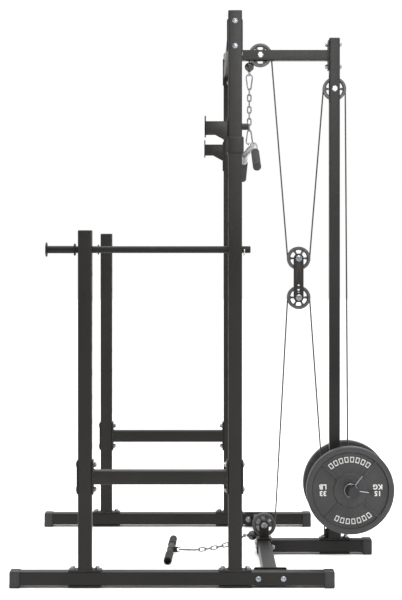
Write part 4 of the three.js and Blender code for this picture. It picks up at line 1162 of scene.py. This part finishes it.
def row_chain():
    piece = Piece("row_chain_links", "chain_steel")
    at = row_chain_point(0)
    along = 0.0
    for index in range(ROW_LINKS):
        following = at
        while (following - at).length < drop(LINK_LENGTH):
            along += 0.00025
            following = row_chain_point(along)
        towards = (following - at).normalized()
        add_link(piece, at - towards * WIRE_RADIUS, towards, 0.0 if index % 2 else QUARTER)
        at = following
    eye = in_plane(ROW_BAR_X + ROW_EYE, ROW_BAR_Z)
    towards = (eye - at).normalized()
    length = (eye - at).length + 2 * WIRE_RADIUS
    roll = 0.8 * QUARTER
    add_snap_hook(piece, at - towards * WIRE_RADIUS, towards, roll, length, HOOK_WIDTH, 0.020)
    piece.finish("row_line", "row_chain", smooth=60)


# --- bars and grips

TAB_THICKNESS = 0.005
EYE_RADIUS = 0.008
LAT_STRAIGHT = 0.300
LAT_END_Y = 0.465
LAT_END_DROP = 0.093
LAT_YAW = math.radians(1.75)
GRIP_LENGTH = 0.130


def lat_bar_half():
    """The bar's centre line from its middle out to its end, with one smooth bend."""
    slope = math.atan2(LAT_END_DROP * 0.88, LAT_END_Y - LAT_STRAIGHT - 0.020)
    radius = 0.070
    end = Vector((0, LAT_END_Y, -LAT_END_DROP))
    along = Vector((0, math.cos(slope), -math.sin(slope)))
    reach = -end.z / math.sin(slope)
    corner = end - along * reach
    tangent = radius * math.tan(slope / 2)
    points = [Vector((0, t * (corner.y - tangent), 0)) for t in (0.0, 0.03, 0.5, 1.0)]
    bend = arc((corner.y - tangent, -radius), radius, QUARTER, QUARTER - slope, 12)
    points += [Vector((0, u, v)) for u, v in bend[1:]]
    points.append(end)
    return points, along, end


def foam_sleeve(name, start, axis, body, replaces):
    """A foam sleeve with shallow finger rings and rolled ends."""
    piece = Piece(name, "foam")
    end = [(BAR_RADIUS + 0.0002, 0.0), (GRIP_RADIUS - 0.0014, 0.0), (GRIP_RADIUS - 0.0003, 0.0012)]
    rings = 22
    barrel = []
    for step in range(rings + 1):
        groove = 0.0004 if step % 2 else 0.0
        barrel.append((GRIP_RADIUS - groove, 0.003 + (GRIP_LENGTH - 0.006) * step / rings))
    profile = end + barrel + [(radius, GRIP_LENGTH - height) for radius, height in reversed(end)]
    piece.lathe(profile, start, axis, 40, loop=True)
    piece.finish(body, replaces)


def eye_tab(piece, matrix, reach):
    """A welded eye: a tongue of plate with a hole near its round end."""
    half = 0.011
    tongue = [(-half, 0.0), (half, 0.0), *arc((0, reach - half * 0.1), half, 0, 2 * QUARTER, 12, 0.9)]
    piece.flat([tongue, circle(EYE_RADIUS, (0, reach), 20)], TAB_THICKNESS, matrix)


def lat_bar():
    place = Matrix.Translation((LAT_X, 0, LAT_BAR_Z)) @ Matrix.Rotation(LAT_YAW, 4, "Z")
    half, along, end = lat_bar_half()
    mirror = [Vector((0, -p.y, p.z)) for p in reversed(half[1:])]
    piece = Piece("lat_bar_tube", "satin_chrome")
    piece.sweep([place @ p for p in mirror + half], BAR_RADIUS, 32)
    eye_tab(piece, place @ facing("x", (0, 0, 0)), LAT_EYE)
    knurl = [(BAR_RADIUS, -0.016), (BAR_RADIUS + 0.0012, -0.0152)]
    piece.lathe(mirrored(knurl), place @ Vector((0, 0, 0)), place.to_3x3() @ Y, 40)
    piece.finish("lat_handle", "lat_bar")
    for side, sign in SIDES:
        axis = Vector((0, sign * along.y, along.z))
        tip = Vector((0, sign * end.y, end.z))
        start = place @ (tip - axis * GRIP_LENGTH)
        turned = place.to_3x3() @ axis
        foam_sleeve(f"lat_{side}_foam", start, turned, "lat_handle", f"lat_{side}_grip")
        plug = Piece(f"lat_{side}_bar_plug", "moulded_plastic")
        profile = [(0.0105, -0.004), (0.0122, 0.0002), (0.0118, 0.0012), (0.0080, 0.0016)]
        plug.lathe(profile, place @ tip, turned, 32)
        plug.finish("lat_handle")


def row_bar():
    place = Matrix.Translation((ROW_BAR_X, 0, ROW_BAR_Z)) @ Matrix.Rotation(ROW_BAR_YAW, 4, "Z")
    half = 0.213
    piece = Piece("row_bar_tube", "powder_coat")
    turned = place.to_3x3() @ Y
    profile = [(0.0105, -half + 0.02), (0.0105, -half), (0.0121, -half), (BAR_RADIUS, -half + 0.0006)]
    piece.lathe(mirrored(profile), place @ Vector((0, 0, 0)), turned, 36)
    tab = Matrix(((0, 1, 0, 0), (0, 0, 1, 0), (1, 0, 0, 0), (0, 0, 0, 1)))
    eye_tab(piece, place @ tab, ROW_EYE)
    sleeve = [(BAR_RADIUS, -0.018), (0.0142, -0.0172)]
    piece.lathe(mirrored(sleeve), place @ Vector((0, 0, 0)), turned, 36)
    piece.finish("row_line", "row_bar")
    for side, sign in SIDES:
        start = place @ Vector((0, sign * (0.217 - GRIP_LENGTH), 0))
        foam_sleeve(f"row_{side}_foam", start, sign * turned, "row_line", f"row_{side}_grip")


# --- carriage and weights

SLEEVE_TOP = 0.335
STOP_INNER = 0.068
STOP_RADIUS = 0.046


def horn_axis(sign):
    """The direction of one half of the loading horn, outwards."""
    return Vector((0, sign * math.cos(HORN_TILT), math.sin(HORN_TILT)))


def add_horn(piece, sign):
    """Half of the loading horn, its stop disc and the bead of weld behind the disc."""
    horn = [(0.0195, -0.006), (HORN_RADIUS, -0.006), (HORN_RADIUS, HORN_HALF - 0.0008)]
    horn += [(0.0217, HORN_HALF), (0.0195, HORN_HALF)]
    piece.lathe(horn, (HORN_X, 0, HORN_Z), horn_axis(sign), 64, loop=True)
    inner = HORN_RADIUS - 0.001
    stop = (HORN_X, sign * STOP_INNER, HORN_Z + STOP_INNER * math.tan(HORN_TILT))
    disc = [(inner, 0.0), (STOP_RADIUS - 0.001, 0.0), (STOP_RADIUS, 0.001)]
    disc += [(STOP_RADIUS, 0.004), (STOP_RADIUS - 0.001, PLATE), (inner, PLATE)]
    piece.lathe(disc, stop, sign * Y, 72, loop=True)
    bead = [(inner, -0.0034), (HORN_RADIUS + 0.0006, -0.0032), (HORN_RADIUS + 0.0030, -0.0006)]
    bead += [(HORN_RADIUS + 0.003, 0.0002), (inner, 0.0002)]
    piece.lathe(bead, stop, sign * Y, 48, loop=True)


def carriage():
    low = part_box("carriage")[0].z
    piece = Piece("carriage_sleeve", "powder_coat")
    piece.square_tube("z", (TOWER_X, 0, 0), low + 0.003, SLEEVE_TOP - 0.003, wall=0.003)
    back = TOWER_X + TUBE / 2 - 0.001
    block_top = HORN_Z + HORN_RADIUS - 0.001
    piece.box((back, -TUBE / 2, HORN_Z - 0.030), (HORN_X, TUBE / 2, block_top), 0.002, 3)
    for _, sign in SIDES:
        add_horn(piece, sign)
    reach = 0.008
    tab = [(back, HORN_Z + 0.010), (HORN_X + reach, HORN_Z + 0.010)]
    tab += arc((HORN_X, EYE_TOP - reach), reach, 0, 1.5 * QUARTER, 12)
    tab.append((back, EYE_TOP - 0.022))
    eye = circle(0.0045, (HORN_X, LIFT_EYE_Z), 20)
    piece.flat([tab, eye], 0.008, facing("y", (0, 0, 0)), 0.001)
    piece.finish("carriage", "carriage")


def carriage_liners():
    """Plastic linings in the sleeve's two mouths, each with a collar over the tube's end."""
    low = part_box("carriage")[0].z
    piece = Piece("carriage_liners", "moulded_plastic")
    length, collar = 0.010, 0.003
    inner = rounded(POST + 0.0012, POST + 0.0012, 0.004)
    for bottom, collar_low in ((low, low), (SLEEVE_TOP - length, SLEEVE_TOP - collar)):
        top = bottom + length
        rings = []
        for z, outer in ((bottom, 0.0445), (collar_low, TUBE), (collar_low + collar, TUBE), (top, 0.0445)):
            rings.append(level(rounded(outer, outer, 0.005), TOWER_X, 0, z))
        rings += [level(inner, TOWER_X, 0, z) for z in (top, bottom)]
        piece.rings(rings, closed=True)
    piece.finish("carriage")


def horn_plugs():
    piece = Piece("horn_plugs", "moulded_plastic")
    dish = [(0.0190, -0.006), (0.0212, 0.0), (0.0214, 0.0008), (0.0204, 0.0016), (0.0140, 0.0018)]
    dish += [(0.0130, 0.0010), (0.0006, 0.0008)]
    for _, sign in SIDES:
        axis = horn_axis(sign)
        piece.lathe(dish, Vector((HORN_X, 0, HORN_Z)) + axis * HORN_HALF, axis, 48)
    piece.finish("carriage")


WEIGHT_HALF = 0.0175
WEIGHT_RADIUS = 0.1735
WEIGHT_BORE = 0.0255
HUB_RADIUS = 0.066
RIM_INNER = 0.151
WEB_HALF = 0.009
RIB_HALF = 0.0045
MARK_X = 0.108
MARK_HEIGHT = 0.019
MARK_RISE = 0.0012
BLOCK_RADIUS = 0.122
BLOCK_PITCH = 10.4  # degrees


def weight_profile():
    """Half of the plate's section, from the bore out to the middle of the tread."""
    bend = 0.0025
    tread = 0.0045
    profile = [(WEIGHT_BORE, 0.0), (WEIGHT_BORE, WEIGHT_HALF - 0.0012), (WEIGHT_BORE + 0.0012, WEIGHT_HALF)]
    profile += arc((HUB_RADIUS - bend, WEIGHT_HALF - bend), bend, QUARTER, 0, 4)
    profile += arc((HUB_RADIUS + 0.001 + bend, WEB_HALF + bend), bend, 2 * QUARTER, 3 * QUARTER, 4)
    profile += arc((RIM_INNER - 0.002 - bend, WEB_HALF + bend), bend, -QUARTER, 0, 4)
    profile += arc((RIM_INNER + bend, WEIGHT_HALF - bend), bend, 2 * QUARTER, QUARTER, 4)
    profile += arc((WEIGHT_RADIUS - tread, WEIGHT_HALF - tread), tread, QUARTER, 0, 6)
    return profile + [(WEIGHT_RADIUS, 0.0)]


def raised_text(piece, words, height, matrix):
    """Generic numerals and units in the built-in typeface, standing out of a surface."""
    curve = bpy.data.curves.new("marks", "FONT")
    curve.body = words
    curve.size = height * 1.4
    curve.align_x = "CENTER"
    curve.align_y = "CENTER"
    curve.extrude = MARK_RISE
    curve.bevel_depth = 0.0004
    curve.offset = 0.0006
    curve.space_character = 1.1
    curve.resolution_u = 3
    piece.add_curve(curve, matrix)


def arc_block(radius, middle, span, height):
    """A short raised bar that follows the plate's curve."""
    first, last = middle - span / 2, middle + span / 2
    outer = arc((0, 0), radius + height / 2, first, last, 5)
    return outer + arc((0, 0), radius - height / 2, last, first, 5)


def weight_plate(side):
    node = f"{side}_weight_plate"
    body = f"{side}_weight"
    low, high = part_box(node)
    centre = (low + high) / 2
    half = weight_profile()
    piece = Piece(node + "_casting", "hammered_iron")
    piece.lathe(half + [(r, -h) for r, h in reversed(half[1:-1])], centre, Y, 128, loop=True)
    face = facing("y", centre)
    near, far = HUB_RADIUS - 0.002, RIM_INNER + 0.002
    root, crest = WEB_HALF - 0.001, WEIGHT_HALF - 0.0035
    for index in range(4):
        turn = face @ Matrix.Rotation(math.radians(48 + 89.75 * index), 4, "Z")
        for bottom, top in ((-crest, -root), (root, crest)):
            piece.box((near, -RIB_HALF, bottom), (far, RIB_HALF, top), 0.0018, 3, matrix=turn)
    piece.finish(body, node, smooth=40)
    weight_marks(node, body, face)


def weight_marks(node, body, face):
    """Numerals, units and a ring of plain blocks, raised on both sides of the web."""
    piece = Piece(node + "_marks", "silver_paint")
    for half_turn in (0, 2 * QUARTER):
        plane = face @ Matrix.Rotation(half_turn, 4, "Y") @ Matrix.Translation((0, 0, WEB_HALF))
        flipped = plane @ Matrix.Rotation(2 * QUARTER, 4, "Z")
        for number, unit, x in (("33", "LB", MARK_X), ("15", "KG", -MARK_X)):
            raised_text(piece, number, MARK_HEIGHT, flipped @ Matrix.Translation((x, 0.011, 0)))
            raised_text(piece, unit, MARK_HEIGHT, flipped @ Matrix.Translation((x, -0.015, 0)))
        for middle, count in ((92, 8), (275.6, 7)):
            for index in range(count):
                angle = math.radians(middle + (index - (count - 1) / 2) * BLOCK_PITCH)
                block = arc_block(BLOCK_RADIUS, angle, math.radians(7.2), 0.022)
                inner = arc_block(BLOCK_RADIUS, angle, math.radians(4.6), 0.015)
                piece.flat([block, inner], 2 * MARK_RISE, plane, 0.0004)
    piece.finish(body)


def spring_collar(side, sign):
    """A coil gripping the horn, with a leg at each end."""
    node = f"{side}_spring_collar"
    wire = 0.0023
    radius = HORN_RADIUS + 0.0003 + wire
    turns = 4
    half_width = turns * 0.0050 / 2
    start = math.radians(38)
    total = 2 * math.pi * turns + math.radians(97) - start
    steps = 40 * turns
    reach = 0.092
    centre_y = 0.127
    centre = Vector((HORN_X, sign * centre_y, HORN_Z + centre_y * math.tan(HORN_TILT)))
    tilt = Matrix.Rotation(sign * HORN_TILT, 3, "X")

    def spoke(share, distance):
        angle = start + total * share
        y = (2 * share - 1) * half_width
        return centre + tilt @ Vector((distance * math.sin(angle), y, distance * math.cos(angle)))

    along_leg = (radius + 0.006, radius + 0.03, reach)
    coil = [spoke(0, distance) for distance in reversed(along_leg)]
    coil += [spoke(step / steps, radius) for step in range(steps + 1)]
    coil += [spoke(1, distance) for distance in along_leg]
    piece = Piece(node + "_coil", "zinc")
    piece.sweep(coil, wire, 12)
    piece.finish(f"{side}_collar", node, smooth=60)
    tips = Piece(node + "_tips", "moulded_plastic")
    profile = [(0.0024, 0), (0.0034, 0.0006), (0.0034, 0.0205), (0.0026, 0.0224), (0.0008, 0.0230)]
    for share in (0, 1):
        tip = spoke(share, reach - 0.020)
        tips.lathe(profile, tip, (spoke(share, reach) - tip).normalized(), 16)
    tips.finish(f"{side}_collar")


# --- J-hooks, safety rods and clips

HOOK_Z = ROD_Z + 5 * HOLE_PITCH
HOOK_HALF = 0.025
SHEET = 0.003


def j_hook(side, y):
    node = f"{side}_j_hook"
    face = REAR_X - TUBE / 2 - GAP
    tip = face - 0.085
    tray_top = HOOK_Z + 0.018
    tray_bottom = HOOK_Z - 0.028
    piece = Piece(node + "_plates", "powder_coat")
    back_low, back_high = HOOK_Z - 0.097, HOOK_Z + 0.029
    back_middle = (back_low + back_high) / 2
    back = rounded(2 * HOOK_HALF, back_high - back_low, 0.004)
    piece.flat([back], 0.004, facing("x", (face - 0.002, y, back_middle)))
    lip_low, lip_high = tray_bottom - 0.010, HOOK_Z + 0.038
    lip = rounded(2 * HOOK_HALF, lip_high - lip_low, 0.007)
    piece.flat([lip], PLATE, facing("x", (tip + PLATE / 2, y, (lip_low + lip_high) / 2)), 0.001)
    for sign in (-1, 1):
        wall = [
            (face - 0.001, tray_top - 0.002),
            (tip + 0.001, tray_top - 0.002),
            (tip + 0.001, tray_bottom),
            (face - 0.046, tray_bottom),
            (face - 0.006, tray_bottom - 0.022),
            (face - 0.001, tray_bottom - 0.022),
        ]
        piece.flat([wall], SHEET, facing("y", (0, y + sign * (HOOK_HALF - SHEET / 2), 0)), 0.0005)
        ear = rounded(0.058, 0.060, 0.006, ((face + REAR_X + TUBE / 2 + 0.004) / 2, HOOK_Z - 0.067))
        side_y = y + sign * (TUBE / 2 + GAP + SHEET / 2)
        piece.flat([ear], SHEET, facing("y", (0, side_y, 0)))
    tray = rounded(face - tip - 0.002, 2 * HOOK_HALF, 0.003)
    piece.flat([tray], 0.004, facing("z", ((tip + face) / 2, y, tray_top - 0.002)))
    bridge_low = (face - 0.004, y - TUBE / 2 - SHEET - GAP, HOOK_Z - 0.097)
    bridge_high = (face, y + TUBE / 2 + SHEET + GAP, HOOK_Z - 0.037)
    piece.box(bridge_low, bridge_high, 0.0012)
    pin = [(0.012, 0.0), (0.012, 0.0725), (0.0108, 0.0752), (0.0085, 0.0757)]
    piece.lathe(pin, (face - 0.001, y, HOOK_Z), X, 36)
    bead = [(0.0115, 0.0), (0.0150, 0.0), (0.0140, 0.0022), (0.0118, 0.0032)]
    piece.lathe(bead, (face - 0.0035, y, HOOK_Z), -X, 32, loop=True)
    body = f"{side}_hook"
    piece.finish(body, node)


ROD_TIP_X = -0.597
ROD_COLLAR_X = -0.495
ROD_END_X = 0.1435
CLIP_X = 0.1205
CLIP_WIRE = 0.00175
ROD_OFFSETS = {"right": 0.0, "left": 0.002}


def safety_rod(side, y):
    shift = ROD_OFFSETS[side]
    start = Vector((ROD_TIP_X + shift, y, ROD_Z))
    length = ROD_END_X - ROD_TIP_X
    collar = ROD_COLLAR_X - ROD_TIP_X
    piece = Piece(f"{side}_safety_rod_bar", "dark_rod")
    profile = [(0.0245, 0.0), (0.0260, 0.0010), (0.0260, 0.0040), (0.0250, 0.0050), (0.0145, 0.0050)]
    profile += [(0.0135, 0.0062), (0.0135, collar - 0.001), (0.0150, collar), (0.0212, collar)]
    profile += [(0.0220, collar + 0.0008), (0.0220, collar + 0.0042), (0.0212, collar + 0.0050)]
    profile += [(BAR_RADIUS, collar + 0.0050), (BAR_RADIUS, length - 0.0022)]
    profile += [(0.0105, length), (0.0030, length)]
    piece.lathe(profile, start, X, 48)
    piece.drill((CLIP_X + shift, y, ROD_Z), CLIP_WIRE + 0.0005, 0.04, Y, 16)
    piece.finish(f"{side}_rod", f"{side}_safety_rod")


def hitch_pin(side, sign):
    """A spring clip: a straight leg through the rod, a ring outside it and a bowed leg back below."""
    at = Vector((CLIP_X + ROD_OFFSETS[side], sign * SIDE_Y, ROD_Z))
    route = [(0.020, 0.0), (0.018, 0.0), (-0.022, 0.0)]
    route += arc((-0.034, -0.008), 0.009, math.radians(70), math.radians(295), 15)
    steps = 12
    for step in range(steps + 1):
        wave = 0.0014 * math.cos(4 * math.pi * step / steps)
        route.append((-0.022 + 0.036 * step / steps, -0.0162 - wave))
    route += [(0.0165, -0.0195), (0.018, -0.0215)]
    piece = Piece(f"{side}_hitch_pin_wire", "yellow_zinc")
    piece.sweep([at + Vector((0, -sign * u, v)) for u, v in route], CLIP_WIRE, 12)
    piece.finish(f"{side}_clip", f"{side}_hitch_pin", smooth=60)


# --- studio


def floor():
    """A pale floor that runs out of sight."""
    mesh = bpy.data.meshes.new("floor")
    reach = 30.0
    corners = [(-reach, -reach, 0), (reach, -reach, 0), (reach, reach, 0), (-reach, reach, 0)]
    mesh.from_pydata(corners, [], [(0, 1, 2, 3)])
    thing = bpy.data.objects.new("floor", mesh)
    bpy.context.collection.objects.link(thing)
    shader = Shader("studio_floor", roughness=0.7, specular=0.2)
    shader.base(shader.noise(3, 3), 0.92, 0.94)
    mesh.materials.append(shader.material)


def room():
    """A bright plain room, darker on the camera's side and brighter overhead."""
    world = bpy.data.worlds.new("studio")
    bpy.context.scene.world = world
    world.use_nodes = True
    nodes, links = world.node_tree.nodes, world.node_tree.links
    background = nodes["Background"]
    split = nodes.new("ShaderNodeSeparateXYZ")
    links.new(nodes.new("ShaderNodeTexCoord").outputs["Generated"], split.inputs["Vector"])
    total = nodes.new("ShaderNodeMath")
    for socket, axis, span in ((0, "Y", (-1.0, 0.1, 0.13, 1.0)), (1, "Z", (0.15, 1.0, 0.0, 1.1))):
        ramp = nodes.new("ShaderNodeMapRange")
        for name, number in zip(("From Min", "From Max", "To Min", "To Max"), span):
            ramp.inputs[name].default_value = number
        links.new(split.outputs[axis], ramp.inputs["Value"])
        links.new(ramp.outputs["Result"], total.inputs[socket])
    links.new(total.outputs["Value"], background.inputs["Strength"])
    background.inputs["Color"].default_value = (1.0, 1.0, 1.0, 1.0)


def softbox(name, at, aim, size, power):
    light = bpy.data.lights.new(name, "AREA")
    light.shape = "RECTANGLE"
    light.size, light.size_y = size
    light.energy = power
    lamp = bpy.data.objects.new(name, light)
    lamp.location = at
    lamp.rotation_euler = (Vector(aim) - Vector(at)).to_track_quat("-Z", "Y").to_euler()
    lamp.visible_camera = False
    bpy.context.collection.objects.link(lamp)


def camera():
    data = bpy.data.cameras.new("camera")
    data.lens = 87.83
    data.sensor_width = 36.0
    data.shift_x = -0.0033
    data.shift_y = -0.084
    data.clip_end = 100.0
    eye = bpy.data.objects.new("camera", data)
    eye.location = (-0.0285, -5.88, 1.22)
    eye.rotation_euler = (QUARTER, 0.0, 0.0)
    bpy.context.collection.objects.link(eye)
    bpy.context.scene.camera = eye
    bpy.context.scene.view_settings.view_transform = "Standard"


# --- assembly

camera()
floor()
room()
softbox("top_box", (0.3, 0.0, 4.4), (0.0, 0.0, 0.0), (3.6, 3.6), 150)
softbox("left_strip", (-3.6, -1.6, 2.0), (0.0, 0.0, 1.0), (1.0, 3.2), 40)
softbox("right_strip", (3.6, -1.2, 2.4), (0.0, 0.0, 1.0), (1.2, 3.2), 55)
softbox("tower_box", (0.64, -3.0, 2.55), (0.40, 0.0, 1.95), (0.9, 0.8), 56)

for side, sign in SIDES:
    y = sign * SIDE_Y
    plated_tube(f"{side}_base_rail", "x", 0, y, RAIL_Z, ends=())
    foot_cap(f"{side}_front_foot_cap", 1)
    foot_cap(f"{side}_rear_foot_cap", -1)
    upright(f"{side}_front_upright", "front", FRONT_X, y)
    upright(f"{side}_rear_upright", "rear", REAR_X, y)
    plated_tube(f"{side}_side_rail", "x", 0, y, SIDE_RAIL_Z)
    j_hook(side, y)
    safety_rod(side, y)
    hitch_pin(side, sign)
    weight_plate(side)
    spring_collar(side, sign)

foot_cap("centre_foot_cap", -1)
plated_tube("top_crossbeam", "y", REAR_X, 0, BEAM_Z)
plated_tube("rear_crossmember", "y", CROSS_X, 0, RAIL_Z)
plated_tube("centre_base_rail", "x", 0, 0, RAIL_Z, ends=(1,))
backing_plates()
frame_bolts()
tower_post()
lat_beam()
tower_foot()
bumper()
low_bracket()
floating_straps()

for name in PULLEYS:
    pulley(name)
    axle(name, "floating_bracket" if "floating" in name else "frame")

cables()
cable_end("lift_cable_end", "carriage", (HORN_X, 0, LIFT_EYE_Z), 0.038)
cable_end("anchor_cable_end", "frame", (ANCHOR_X, 0, ANCHOR_Z), 0.034)
ball_stop("lat_ball_stop", "lat_line", (LAT_X, 0, LAT_BALL_Z), DOWN)
ball_stop("row_ball_stop", "row_line", (ROW_BALL_X, 0, ROW_LINE_Z), -X)
lat_chain()
row_chain()
lat_bar()
row_bar()
carriage()
carriage_liners()
horn_plugs()
